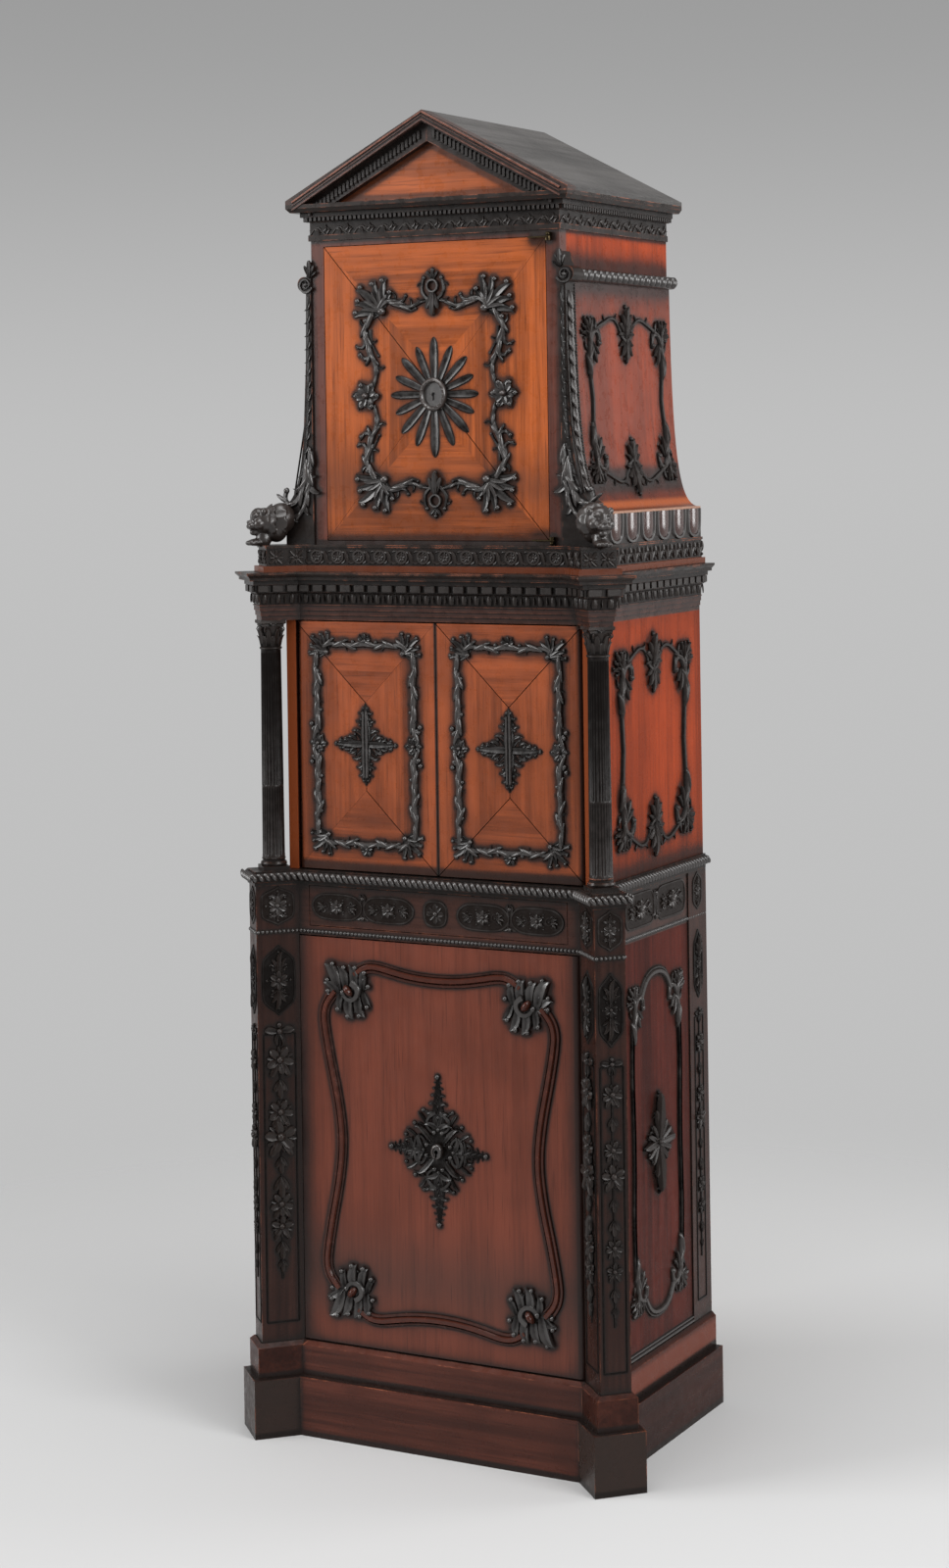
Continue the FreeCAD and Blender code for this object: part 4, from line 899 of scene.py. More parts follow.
def frame_woods(f):
    """Woods of the plinth, posts, jambs and rails."""
    faint, fainter = shaded(f.rubbed_wood, 0.6), shaded(f.rubbed_wood, 0.5)
    step = ("Z", PLINTH_STEP + 8, PLINTH_TOP - 10, 7, shaded(f.frame_wood, 1.6), 0.8)
    foot = ("Z", -10, PLINTH_STEP, 2, shaded(f.black_wood, 1.1), 0.9)
    polish("frame", "frame_wood", f.frame_wood, grain="X", worn=f.rubbed_wood, reach=0.012, sheen=0.24)
    # Painted shade: the plinth's sides are a darker share of the frame wood, because the lamps light them
    # less.
    polish("plinth_side", "plinth_side_wood", f.frame_wood, 0.38, 0.2, grain="Y", worn=faint, reach=0.012,
           sheen=0.12, bands=(step,))
    polish("block", "block_wood", f.frame_wood, 0.6, 0.24, grain="X", worn=faint, reach=0.012, sheen=0.16,
           bands=(foot,))
    polish("jamb", "jamb_wood", f.frame_wood, 1.3, 0.6, reach=0.01)
    polish("rail", "rail_wood", f.rail_wood, dark=0.5, grain="X", worn=fainter, reach=0.02, sheen=0.24)
    polish("upright", "post_wood", f.rail_wood, 0.7, 0.32, worn=fainter, reach=0.02, sheen=0.2)


def black_woods(f):
    """Blackened woods of the cornices, columns and attic, with bright worn edges."""
    edged = {"grain": "X", "worn": f.rubbed_wood, "reach": 0.012}
    step = ("Z", ATTIC_LOW.z + 0.5, ATTIC_LOW.z + 9.5, 0.4, shaded(f.mid_wood, 0.36), 0.85)
    polish("black", "black_wood", f.black_wood, dark=0.5, sheen=0.2, **edged)
    polish("attic", "attic_wood", f.black_wood, dark=0.5, sheen=0.2, over=(step,), **edged)
    FINISH["raking"] = wood("raking_wood", shaded(f.rail_wood, 0.75), shaded(f.black_wood, 0.8), **edged)


def plain_woods(f):
    """Dull woods of the roof and the inside."""
    polish("roof", "roof_wood", f.roof_wood, dark=0.6, grain="Y", smoke=0.5, gloss=0.5)
    polish("inner", "inner_wood", f.inner_wood, dark=0.55, grain="X", smoke=0.4, gloss=0.5)


def lacquer(key, name, deep, mid, rubbed, gloss, sheen):
    """Make a finish for carving from (colour, share) tones of its hollows, flanks and heights."""
    tones = [shaded(colour, share) for colour, share in (deep, mid, rubbed)]
    FINISH[key] = carved_wood(name, *tones, gloss, sheen)


def carvings(f):
    """Finishes of the carving."""
    black, post, base = f.black_wood, f.frame_wood, f.base_wood
    lacquer("carving", "carving", (black, 0.2), (black, 0.6), (black, 1.5), 0.33, 1.0)
    lacquer("dull", "dull_carving", (black, 0.2), (black, 0.7), (black, 1.0), 0.38, 0.34)
    lacquer("frieze", "frieze_carving", (black, 0.5), (black, 0.8), (black, 1.4), 0.34, 0.7)
    lacquer("tongue", "tongue_wood", (black, 0.5), (post, 0.4), (post, 0.6), 0.2, 1.0)
    lacquer("worn_rib", "worn_ribs", (black, 1.0), (f.rail_wood, 1.0), (f.rubbed_wood, 0.8), 0.32, 0.4)
    lacquer("moulding", "panel_moulding", (black, 0.4), (base, 0.3), (base, 0.95), 0.2, 0.34)


def metals(f):
    """Tarnished brass and iron."""
    for key, gloss in (("brass", 0.25), ("iron", 0.4)):
        colour = getattr(f, key)
        FINISH[key] = metal(key, colour, shaded(colour, 0.4), gloss)


def make_finishes():
    """Make every wood and metal once, from the chosen colours."""
    for make in (door_woods, side_woods, apron_wood, frame_woods, black_woods, plain_woods, carvings, metals):
        make(finishes())


NODE_FINISH = {
    "side": ("top_sides",),
    "mid_side": ("mid_sides",),
    "apron": ("side_aprons",),
    "gable": ("tympanum",),
    "base_door": ("base_door",),
    "base_side": ("base_sides",),
    "frame": ("plinth_front",),
    "block": ("plinth_corner_blocks",),
    "plinth_side": ("plinth_sides",),
    "jamb": ("top_jambs", "top_rails"),
    "rail": ("frieze_rail", "frieze_sides", "drawer_front", "architrave"),
    "raking": ("raking_cornices",),
    "attic": ("attic_base",),
    "upright": ("corner_post_right", "corner_post_left", "rear_posts"),
    "black": ("waist_board", "column_bases", "bed_moulding", "mid_cornice", "consoles", "top_frieze",
              "top_cornice", "column_shafts", "column_capitals", "lion_heads"),
    "roof": ("roof_boards", "rear_gable"),
    "inner": ("plinth_back", "base_floor", "base_back", "base_shelves", "dust_board", "drawer_runners",
              "drawer_box", "mid_back", "mid_divider", "mid_trays", "top_back", "top_trays"),
    "brass": ("base_door_pins", "mid_door_pins", "top_hinge_leaves", "top_hinge_pins"),
    "iron": ("base_lock_case", "base_lock_bolt", "mid_lock_case_right", "mid_lock_case_left",
             "mid_lock_bolt_right", "mid_lock_bolt_left", "top_lock_case", "top_lock_bolt"),
    "top_door": ("top_door",),
    "mid_door_left": ("mid_door_left",),
    "mid_door_right": ("mid_door_right",),
}


class CABINET_OT_finish_case(bpy.types.Operator):
    """Give every board, lock and hinge of the case its wood or metal"""
    bl_idname = "cabinet.finish_case"
    bl_label = "Finish the case"

    def execute(self, context):
        make_finishes()
        left = set(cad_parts)
        for key, names in NODE_FINISH.items():
            for name in names:
                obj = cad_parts[name]
                if not obj.material_slots:
                    raise RuntimeError(name + " has no material slot")
                for slot in obj.material_slots:
                    slot.material = FINISH[key]
                left.discard(name)
        if left:
            raise RuntimeError("no finish for " + ", ".join(sorted(left)))
        return {"FINISHED"}


# Columns

NECK_SHARE = 0.9                # shaft radius at the neck, as a share of the foot's
FLUTE_POINTS = 4                # points round the shaft for each flute
REED_SHARE = 0.34               # reeded part of the shaft's height
REEDS = {0: 0.9, 1: 0.975, 3: 0.975}        # shares that points are moved in to, by their number
FLUTES = {1: 0.93, 2: 0.9, 3: 0.93}


def flute_number(co):
    """Number of a point of the shaft within its flute."""
    count = carving().flutes * FLUTE_POINTS
    return round(math.atan2(co.y, co.x) / (2 * math.pi) * count) % FLUTE_POINTS


def hollow_ring(obj, z, shares):
    """Move the points of a ring in by the share given for each number within a flute."""
    for number, share in shares.items():
        pick(obj, lambda co: abs(co.z - z) <= 0.01 and flute_number(co) == number)
        bpy.ops.transform.resize(value=(share, share, 1), center_override=(0, 0, z))


def undone(hollows):
    """The shares that bring a hollowed ring back to a round one."""
    return {number: 1 / share for number, share in hollows.items()}


def rise(obj, z0, z1, scale=1.0):
    """Draw the shaft's top ring up to a new height."""
    pick(obj, lambda co: abs(co.z - z0) < 0.01)
    bpy.ops.mesh.extrude_region_move(TRANSFORM_OT_translate={"value": (0, 0, z1 - z0)})
    bpy.ops.transform.resize(value=(scale, scale, 1), center_override=(0, 0, z1))


def fluted_shaft():
    """One shaft, reeded below and fluted above, round the Z axis."""
    z, top = SHAFT_LOW.z, SHAFT_HIGH.z
    reed_top = z + (top - z) * REED_SHARE
    levels = (                          # height of each ring, its share of the ring below, and its hollows
        (z + 3, 1.0, {}), (z + 5, 0.985, REEDS), (reed_top - 2, 0.97, {}), (reed_top, 1.0, undone(REEDS)),
        (reed_top + 2, 1.0, {}), (reed_top + 4, 1.0, FLUTES), (top - 6, NECK_SHARE / 0.97, {}),
        (top - 4, 1.0, undone(FLUTES)), (top, 1.0, {}))
    obj = disc(carving().flutes * FLUTE_POINTS, SHAFT_RADIUS, z)
    for level, share, hollows in levels:
        rise(obj, z, level, share)
        hollow_ring(obj, level, hollows)
        z = level
    return close_up(obj, "shaft", 60)


def round_about(bag, kind, radius, z, count, size, start=0.0, wide=1.0, high=1.0):
    """Copies of a motif standing round the Z axis, facing out."""
    for k in range(count):
        turn = math.radians(start + 360 * k / count)
        across, ahead = math.cos(turn), math.sin(turn)
        face = ground(radius * across, radius * ahead, z, (-ahead, across, 0))
        stamp(bag, motif(kind), face @ at(0, 0, size, 0, wide, high))


def turned_body(profile, vertices=32):
    """A turned form round the Z axis through (radius, height) points, from the bottom up."""
    radius, z = profile[0]
    obj = disc(vertices, radius, z)
    bpy.ops.mesh.select_all(action="SELECT")
    for radius1, z1 in profile[1:]:
        bpy.ops.mesh.extrude_region_move(TRANSFORM_OT_translate={"value": (0, 0, z1 - z)})
        bpy.ops.transform.resize(value=(radius1 / radius, radius1 / radius, 1), center_override=(0, 0, z1))
        radius, z = radius1, z1
    return close_up(obj, "turned")


def abacus(side, z0, z1):
    """The capital's square cap, hollowed on its four sides, on the diagonal."""
    deselect()
    bpy.ops.mesh.primitive_cube_add(size=1)
    obj = bpy.context.object
    bpy.ops.object.mode_set(mode="EDIT")
    bpy.ops.mesh.select_all(action="SELECT")
    bpy.ops.mesh.subdivide(number_cuts=5)
    for reach, share in ((0.4, 0.93), (0.2, 0.94)):
        pick(obj, lambda co: abs(co.x) < reach and abs(co.y) > 0.4)
        bpy.ops.transform.resize(value=(1, share, 1), center_override=(0, 0, 0))
        pick(obj, lambda co: abs(co.y) < reach and abs(co.x) > 0.4)
        bpy.ops.transform.resize(value=(share, 1, 1), center_override=(0, 0, 0))
    pick(obj, lambda co: co.z < -0.1)
    bpy.ops.transform.resize(value=(0.86, 0.86, 1), center_override=(0, 0, 0))
    bpy.ops.mesh.select_all(action="SELECT")
    bpy.ops.transform.resize(value=(side, side, z1 - z0), center_override=(0, 0, 0))
    bpy.ops.transform.translate(value=(0, 0, (z0 + z1) / 2))
    bpy.ops.transform.rotate(value=math.pi / 4, orient_axis="Z", center_override=(0, 0, 0))
    return close_up(obj, "abacus", 30)


def leafy_capital():
    """One capital round the Z axis: bell, two rows of leaves, corner scrolls and cap."""
    low, high = edges("column_capitals")
    z0, z1 = low.z, high.z
    cap = z1 - 9
    bag = [turned_body(((15.4, z0), (17.2, z0 + 1.5), (17.2, z0 + 3.5), (14.8, z0 + 5), (15.2, z0 + 20),
                        (17, cap - 6), (18.5, cap)))]
    bag.append(abacus(40, cap, z1))
    round_about(bag, "frond", 14.6, z0 + 5, 8, 17, 0, 0.85, 1.0)
    round_about(bag, "frond", 14.8, z0 + 9, 8, 23, 22.5, 0.7, 0.8)
    for k in range(4):
        turn = math.radians(90 * k)
        corner = Vector((math.cos(turn), math.sin(turn), 0))
        for lean in (-1, 1):
            spot = corner * 19 - UP.cross(corner) * lean * 2
            side = ground(spot.x, spot.y, cap - 5, corner)
            stamp(bag, motif("volute"), side @ at(0, 0, 5, 0, lean, lift=lean * 1.5))
    round_about(bag, "rosette4", 16.5, (cap + z1) / 2, 4, 5.5, 45)
    return join(bag, "capital")


class CABINET_OT_columns(bpy.types.Operator):
    """Flute the columns and carve their capitals"""
    bl_idname = "cabinet.columns"
    bl_label = "Columns"

    def execute(self, context):
        for name, make, node in (("fluted_shafts", fluted_shaft, "column_shafts"),
                                 ("leaf_capitals", leafy_capital, "column_capitals")):
            one = make()
            bag = []
            for side in (-1, 1):
                stamp(bag, one, Matrix.Translation((side * COLUMN.x, COLUMN.y, 0)))
            discard(one)
            piece = case_piece(join(bag, name), name, shaft_relief, "dull")
            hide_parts(node)
        return {"FINISHED"}


def shaft_relief(co):
    """How far a point of a column stands out, from the bottom of its hollows."""
    return (math.hypot(abs(co.x) - COLUMN.x, co.y - COLUMN.y) - 14) / 8


# Rows of small ornament

def row(name, run, pitch, z, make, relief, finish="carving"):
    """A row of ornament along a run: make puts one unit, of a given share of the length, into a bag."""
    bag = []
    for face, share in along(run, pitch, z):
        unit = []
        make(unit, share)
        bag += shift(unit, face)
    return case_piece(join(bag, name), name, lambda co: relief, finish)


def entablature_run(out):
    return broken_run(MID_SIDE + out, MID_FRONT - out, ENTABLATURE_HALF + out, ENTABLATURE_HALF + out)


def base_run(out):
    return broken_run(BASE_SIDE + out, BASE_FRONT - out, POST_FACE + out, POST_HALF + out)


def attic_run(out):
    return broken_run(MID_SIDE + ATTIC_OUT + out, MID_FRONT - out, ATTIC_FACE + out, ATTIC_HALF + out)


def top_run(out):
    side, front = TOP_SIDE + out, TOP_FRONT - out
    return [(-side, BACK), (-side, front), (side, front), (side, BACK)]


def egg(unit, share):
    put(unit, "tongue", 0, -7, 15, 0, share / 26, 0.5, lift=-1)
    put(unit, "lobe", share / 2, 7, 14, 180, 0.7, 0.6, lift=-1)


def dentil(unit, share):
    put(unit, "dentil", 0, 0, 10, 0, share * 0.07, 0.5, lift=-0.5)


def small_dentil(unit, share):
    put(unit, "dentil", 0, 0, 12.6, 0, share * 0.045, 0.42, lift=-0.5)


def gadroon(unit, share):
    put(unit, "bead", 0, 0, 8.5, 38, 0.44, 0.5, lift=-0.5)


def small_bead(unit, share):
    put(unit, "bead", 0, 0, share * 0.46, lift=-0.2)


def reed(unit, share):
    put(unit, "bead", 0, 0, 9.5, -14, 0.8, 0.75, lift=-1.5)


def fat_tongue(unit, share):
    """A convex glossy tongue."""
    put(unit, "nulling", 0, 0, 42, 0, 1.14, 0.46, lift=-1)


def tongue_rim(unit, share):
    """The raised rim of the hollow round a tongue."""
    rib(unit, [(-22, 21), (-22, -6), (-16, -18), (0, -23), (16, -18), (22, -6), (22, 21)], 3.4)


class CABINET_OT_rows(bpy.types.Operator):
    """Run the rows of leaves, dentils, gadroons, beads, tongues and reeds round the tiers"""
    bl_idname = "cabinet.rows"
    bl_label = "Rows of ornament"

    def execute(self, context):
        c = carving()
        z_leaf = LEAF_LOW.z
        row("leaf_row", entablature_run(6.5), c.leaf_pitch / MM, z_leaf + 9.5, egg, 0.6, "dull")
        row("middle_dentils", entablature_run(11), c.dentil_pitch / MM, z_leaf + 25.5, dentil, 0.5, "dull")
        row("waist_gadroons", base_run(9), c.gadroon_pitch / MM, WAIST_LOW.z + 13.5, gadroon, 0.8)
        row("frieze_beads", base_run(0), c.bead_pitch / MM, edges("frieze_rail")[0].z + 5.5, small_bead, 0.6)
        row("top_dentils", top_run(6), c.top_dentil_pitch / MM, CORNICE_LOW.z + 7, small_dentil, 0.5, "dull")
        foot = APRON_LOW.y + 4
        for name, x, pitch, z, make, finish in (
                ("side_tongues", APRON_HIGH.x, c.tongue_pitch, APRON_LOW.z + 24, fat_tongue, "tongue"),
                ("side_tongue_rims", APRON_HIGH.x, c.tongue_pitch, APRON_LOW.z + 24, tongue_rim, "carving"),
                ("side_reeds", TOP_SIDE + 17, c.reed_pitch, APRON_HIGH.z - 9.5, reed, "carving")):
            row(name + "_right", [(x, foot), (x, BACK)], pitch / MM, z, make, 0.6, finish)
            row(name + "_left", [(-x, BACK), (-x, foot)], pitch / MM, z, make, 0.6, finish)
        return {"FINISHED"}


# Carved frames and bosses of the doors

def middle(node):
    """Middle of a node's front face."""
    low, high = edges(node)
    return Vector(((low.x + high.x) / 2, low.y, (low.z + high.z) / 2))


def front_of(node, rise=0.0):
    """Ground for carving on the front of a door or board, at a rise above its middle."""
    spot = middle(node)
    return ground(spot.x, spot.y, spot.z + rise, (1, 0, 0))


def medallion(bag, x, y, size):
    """A round boss of curling leaves about a flower."""
    curls(bag, [(x, y, 60 * k, size * 1.12) for k in range(6)])
    knobs(bag, round_points(x, y, size * 0.84, 6), size * 0.2)
    put(bag, "rosette6", x, y, size * 0.8, 15, high=1.3)
    put(bag, "boss", x, y, size * 0.24, high=2.2)


def crest(size):
    """An open ring of scrolls with leaves above and a hanging leaf below, for the middle of a frame."""
    bag = []
    put(bag, "ring", 0, 0, size * 0.38, high=2.2)
    lobes(bag, sized(size, size, [(0, 0.4, turn, 0.62) for turn in (0, 38, -38)]), 1.2, 1.1)
    lobes(bag, sized(size, size, ((0, -0.3, 180, 1.5), (0, -0.3, 200, 1.2), (0, -0.3, 160, 1.2))), 0.9, 0.9)
    knobs(bag, [(0, size * 0.98), (0, -size * 1.75)], size * 0.13)
    side = []
    scroll = spots(size, size, ((0.25, -0.9), (0.7, -0.6), (0.82, 0), (0.62, 0.5)))
    stem(side, scroll, size * 0.15, size * 0.1, size * 0.14, False)
    curls(side, sized(size, size, ((0.62, 0.1, -70, 0.5), (0.5, -0.8, 242, -0.62))))
    mirror_copies(side)
    return bag + side


@carved
def top_door_frame(bag):
    fan(bag, 88, 127, -45, 56)
    stem(bag, [(94, 132), (84, 141), (70, 144), (58, 140), (50, 142), (47, 149)], 5.6, 2.0, 2.8)
    stem(bag, [(72, 140), (56, 134), (42, 132), (28, 135), (16, 141)], 5.2, 2.4)
    stem(bag, [(58, 134), (46, 128), (36, 126), (30, 130)], 3.0, 1.6, 2.6, False)
    stem(bag, [(104, 124), (116, 110), (120, 94), (118, 80), (123, 72), (131, 73)], 5.8, 2.0, 2.8)
    stem(bag, [(118, 96), (114, 76), (106, 58), (100, 44), (98, 32), (104, 20)], 5.4, 3.0)
    stem(bag, [(108, 62), (114, 56), (122, 57), (128, 62)], 4.2, 2.4, 3.6)
    stem(bag, [(110, 100), (110, 84), (102, 70), (96, 60)], 2.8, 1.6, 2.4, False)
    curls(bag, [(118, 104, -60, -16), (66, 143, 12, 14), (100, 46, 130, 15)])
    curls(bag, [(40, 133, 30, 13), (112, 84, 120, 14), (84, 142, -5, -13)])
    mirror_copies(bag, across=False, updown=True)
    medallion(bag, 118, 0, 22)
    mirror_copies(bag)
    one = crest(24)
    for y, way in ((163, 1), (-159, -1)):
        stamp_all(bag, one, Matrix.Translation((0, y, 0)) @ Matrix.Diagonal((1, way, 1, 1)))
    discard(*one)


@carved
def sunburst(bag):
    rays = carving().rays
    for k in range(rays):
        turn = 360 * k / rays
        share = abs(math.sin(math.radians(turn)))
        drop = 8 if 90 < turn < 270 else 0
        reach = 86 - 11 * share + drop * (1 - share) - (4 if k % 2 else 0)
        put(bag, "ray", 0, 0, reach, turn, 1.0, 0.4)
    bag.append(cut_escutcheon(((22, -1), (22.6, 5), (21.4, 8.4), (19, 9.4), (17, 8), (15.8, 3.4)), 1.12))
    for x, y in round_points(0, 0, 1, 18):
        put(bag, "bead", 18.8 * x, 21 * y, 1.9, lift=8.4)


def cut_escutcheon(profile, tall):
    """A turned oval plate with a keyhole through it."""
    plate = turned_body(profile, 40)
    plate.data.transform(Matrix.Diagonal((1, tall, 1, 1)))
    deselect()
    bpy.ops.mesh.primitive_cylinder_add(vertices=16, radius=3.2, depth=40)
    hole = bpy.context.object
    bpy.ops.mesh.primitive_cube_add(size=1, location=(0, -4.5, 0), scale=(2.8, 9, 40))
    slit = bpy.context.object
    for cutter in (hole, slit):
        take(plate)
        cut = plate.modifiers.new("cut", "BOOLEAN")
        cut.operation = "DIFFERENCE"
        cut.solver = "EXACT"
        cut.object = cutter
        bpy.ops.object.modifier_apply(modifier=cut.name)
        discard(cutter)
    return plate


@carved
def mid_door_frame(bag):
    fan(bag, 67, 139, -45, 35.5)
    stem(bag, [(72, 148), (60, 153), (46, 151), (34, 149)], 5.0, 2.4, 3.0)
    knobbly(bag, [(52, 150), (36, 152), (20, 150), (0, 152)], 5.0, 24)
    stem(bag, [(84, 138), (88, 122), (85, 104), (83, 92)], 5.0, 2.6, 3.0)
    knobbly(bag, [(86, 112), (83, 92), (86, 66), (83, 42), (86, 16)], 5.4, 27)
    mirror_copies(bag, across=False, updown=True)
    medallion(bag, 83.5, 0, 14)
    knobs(bag, [(92, 21), (92, -21), (95, 29), (95, -29)], 4.2)
    mirror_copies(bag)
    for y in (157, -159):
        put(bag, "rosette5", 0, y, 11, high=1.3)
        curls(bag, [(0, y, 70, 13), (0, y, -70, -13)])


def spears(bag, places, wide, high):
    """Leaves drawn out to points."""
    lay_leaves(bag, "spear", places, wide, high)


@carved
def mid_door_star(bag):
    """A leafy star drawn to points, with two smooth bars beside the open joint that runs up through it."""
    rib(bag, [(2.4, 50), (2.8, 26), (2.8, 0)], 2.2)
    shift(bag, Matrix.Translation((0, 0, 3)))
    spears(bag, [(2.5, 2, 2, 60), (2, 0, -90, 54), (3, 3, -45, 24)], 1.0, 0.4)
    curls(bag, [(4, 40, -20, 12), (5, 28, -30, 14), (7, 16, -46, 17)])
    curls(bag, [(16, 8, -52, 16), (26, 5, -62, 14), (37, 3, -70, 12)])
    curls(bag, [(5, 46, -10, -11), (7, 30, -24, -13), (18, 4, -76, -14), (32, 2, -84, -13)])
    knobs(bag, [(3.4, 55), (6, 47), (7.5, 38), (9.5, 29), (13, 21)], 2.4)
    knobs(bag, [(18.5, 15), (26, 11), (35, 8.5), (44, 6), (52, 1)], 2.4)
    quarter_copies(bag)


def panel_moulding(bag, points):
    """The base panels' moulding: a bold roll between two fillets."""
    rib(bag, points, 5.6)
    rib(bag, offset_line(points, 7.4), 3.2)
    rib(bag, offset_line(points, -7), 2.4)


def mirrored_line(points, across):
    """A line continued by its own mirror image."""
    flip = (-1, 1) if across else (1, -1)
    return points + [(x * flip[0], y * flip[1]) for x, y in reversed(points[:-1])]


def base_door_moulding():
    bag = []
    top = mirrored_line([(142, 254), (126, 266), (104, 268), (76, 262), (40, 256), (0, 254)], True)
    panel_moulding(bag, top)
    mirror_copies(bag, across=False, updown=True)
    sides = []
    half = [(176, 226), (190, 212), (197, 192), (195, 168), (186, 120), (174, 66), (168, 24), (167, 0)]
    panel_moulding(sides, mirrored_line(half, False))
    mirror_copies(sides)
    return join(bag + sides, "base_door_moulding")


# Leaves and curls of a corner clump, in shares of its size: across, up, heading and reach
CLUSTER_LEAVES = (
    (-0.38, 0.04, 12, 0.6), (-0.14, 0.06, 4, 0.7), (0.12, 0.06, -6, 0.68), (0.36, 0.02, -15, 0.84),
    (0.36, -0.06, -46, 0.56), (0.34, -0.1, -78, 0.42), (0.28, -0.02, 194, 0.56), (0.03, -0.06, 184, 0.7),
    (-0.23, -0.06, 173, 0.66), (-0.42, 0.02, 160, 0.48), (-0.36, 0.1, 70, 0.3))
CLUSTER_CURLS = (
    (-0.26, 0.16, 20, -0.46), (-0.02, 0.22, -4, 0.42), (0.24, 0.14, -30, 0.5), (0.12, -0.2, 196, 0.46),
    (-0.2, -0.16, 160, -0.46), (0.3, -0.04, -96, -0.44))


def corner_cluster(bag, x, y, size):
    """A dense clump of acanthus about a bud: a low mass with knobbed leaves and scrolls over it."""
    put(bag, "boss", x, y, size * 0.56, 0, 0.84, 0.06)
    for leaf in sized(size, size, CLUSTER_LEAVES, x, y):
        fingers(bag, [leaf], 2.7, 0.9)
        foot_x, foot_y, heading, reach = leaf
        tip = toward(foot_x, foot_y, heading, reach * 0.92)
        put(bag, "bead", *tip, size * 0.08, high=1.2, lift=size * 0.04)
    curls(bag, sized(size, size, CLUSTER_CURLS, x, y))
    scroll = ((-0.06, 0.26), (-0.26, 0.16), (-0.28, -0.06), (-0.12, -0.24), (0.14, -0.22), (0.24, -0.04))
    stem(bag, spots(size, size, scroll, x, y), size * 0.14, size * 0.09, size * 0.1, False)


@carved
def base_door_corners(bag):
    corner_cluster(bag, 150, 227, 53)
    quarter_copies(bag)


@carved
def base_door_buds(bag):
    """The worn oval buds in the corners."""
    put(bag, "boss", 152, 229, 11, -40, 0.55, 1.1)
    quarter_copies(bag)


def arm_leaves(bag, length, shares, size, heading):
    """Pairs of small curled and straight leaves up an arm that runs out from the middle."""
    for share in shares:
        x, y = toward(0, 0, heading, length * share)
        near = size * (1.1 - share)
        for side in (-1, 1):
            curls(bag, [(x, y, heading - side * 48, side * near)])
            spears(bag, [(x, y, heading - side * 16, near * 1.2)], 1.2, 0.7)
        knobs(bag, [(x, y)], near * 0.14)


def diamond_star(bag, across, tall):
    """A pierced star of scrolls and small leaves with knobbed tips, by its half width and half height."""
    for scroll in (((0.04, 0.5), (0.22, 0.44), (0.24, 0.28), (0.08, 0.24)),
                   ((0.5, 0.02), (0.46, 0.18), (0.3, 0.18), (0.24, 0.07))):
        stem(bag, spots(across, tall, scroll), across * 0.045, across * 0.035, across * 0.05, False)
    put(bag, "volute", across * 0.17, tall * 0.13, across * 0.1, 60, 1, 1.6)
    put(bag, "volute", across * 0.36, tall * 0.3, across * 0.08, 20, 1, 1.6)
    small = ((0.1, 0.1, -40, 0.42), (0.24, 0.34, -30, 0.26), (0.42, 0.16, -54, 0.26))
    fingers(bag, sized(across, tall, small), 1.5, 0.9)
    curls(bag, sized(across, tall, ((0.3, 0.26, -50, 0.2), (0.16, 0.44, -30, 0.2), (0.5, 0.1, -64, 0.2))))
    knobs(bag, spots(across, tall, ((0.48, 0.34), (0.3, 0.52), (0.66, 0.18))), across * 0.04)
    quarter_copies(bag)
    for heading, length, wide, shares in ((0, tall, 0.95, (0.28, 0.44, 0.58, 0.7, 0.8, 0.88)),
                                          (90, across, 1.2, (0.3, 0.47, 0.62, 0.75, 0.86))):
        for turn in (heading, heading + 180):
            spears(bag, [(0, 0, turn, length)], wide, 0.12)
            arm_leaves(bag, length, shares, across * 0.38, turn)
    knobs(bag, [(0, tall * 0.97), (0, -tall * 0.97), (across * 0.96, 0), (-across * 0.96, 0)], across * 0.055)


@carved
def base_door_star(bag):
    diamond_star(bag, 84, 114)
    bag.append(cut_escutcheon(((9, -1), (9, 9), (7, 11), (5.5, 11), (5, 9)), 1.3))


def carve(obj, place, body, relief=9.0, finish="carving", name=None):
    return settle(obj, name or obj.name, place, body, FINISH[finish], relief)


class CABINET_OT_top_door(bpy.types.Operator):
    """Carve the frame and the sunburst of the top door"""
    bl_idname = "cabinet.top_door"
    bl_label = "Top door carving"

    def execute(self, context):
        place = front_of("top_door", TOP_DOOR_RISE)
        carve(top_door_frame(), place, "top_door", 10)
        carve(sunburst(), place, "top_door", 5)
        return {"FINISHED"}


class CABINET_OT_mid_doors(bpy.types.Operator):
    """Carve the frames and stars of the pair of doors"""
    bl_idname = "cabinet.mid_doors"
    bl_label = "Middle door carving"

    def execute(self, context):
        pieces = (mid_door_frame(), mid_door_star())
        for side in ("left", "right"):
            door = "mid_door_" + side
            for piece in pieces:
                copy = stamp([], piece, Matrix.Identity(4))
                carve(copy, front_of(door, MID_DOOR_RISE), door, 8, name=piece.name + "_" + side)
        discard(*pieces)
        return {"FINISHED"}


class CABINET_OT_base_door(bpy.types.Operator):
    """Carve the moulding, corners and star of the base door"""
    bl_idname = "cabinet.base_door"
    bl_label = "Base door carving"

    def execute(self, context):
        place = front_of("base_door", BASE_DOOR_RISE)
        carve(base_door_moulding(), place, "base_door", 6, "moulding")
        carve(base_door_corners(), place, "base_door", 12)
        carve(base_door_star(), place, "base_door", 12)
        carve(base_door_buds(), place, "base_door", 16, "moulding")
        return {"FINISHED"}


# Lion's heads

def ball(x, y, z, wide, tall, deep):
    """An oval ball."""
    deselect()
    bpy.ops.mesh.primitive_uv_sphere_add(segments=20, ring_count=14, location=(x, y, z),
                                         scale=(wide, tall, deep))
    obj = bpy.context.object
    bpy.ops.object.transform_apply(location=True, scale=True)
    return obj


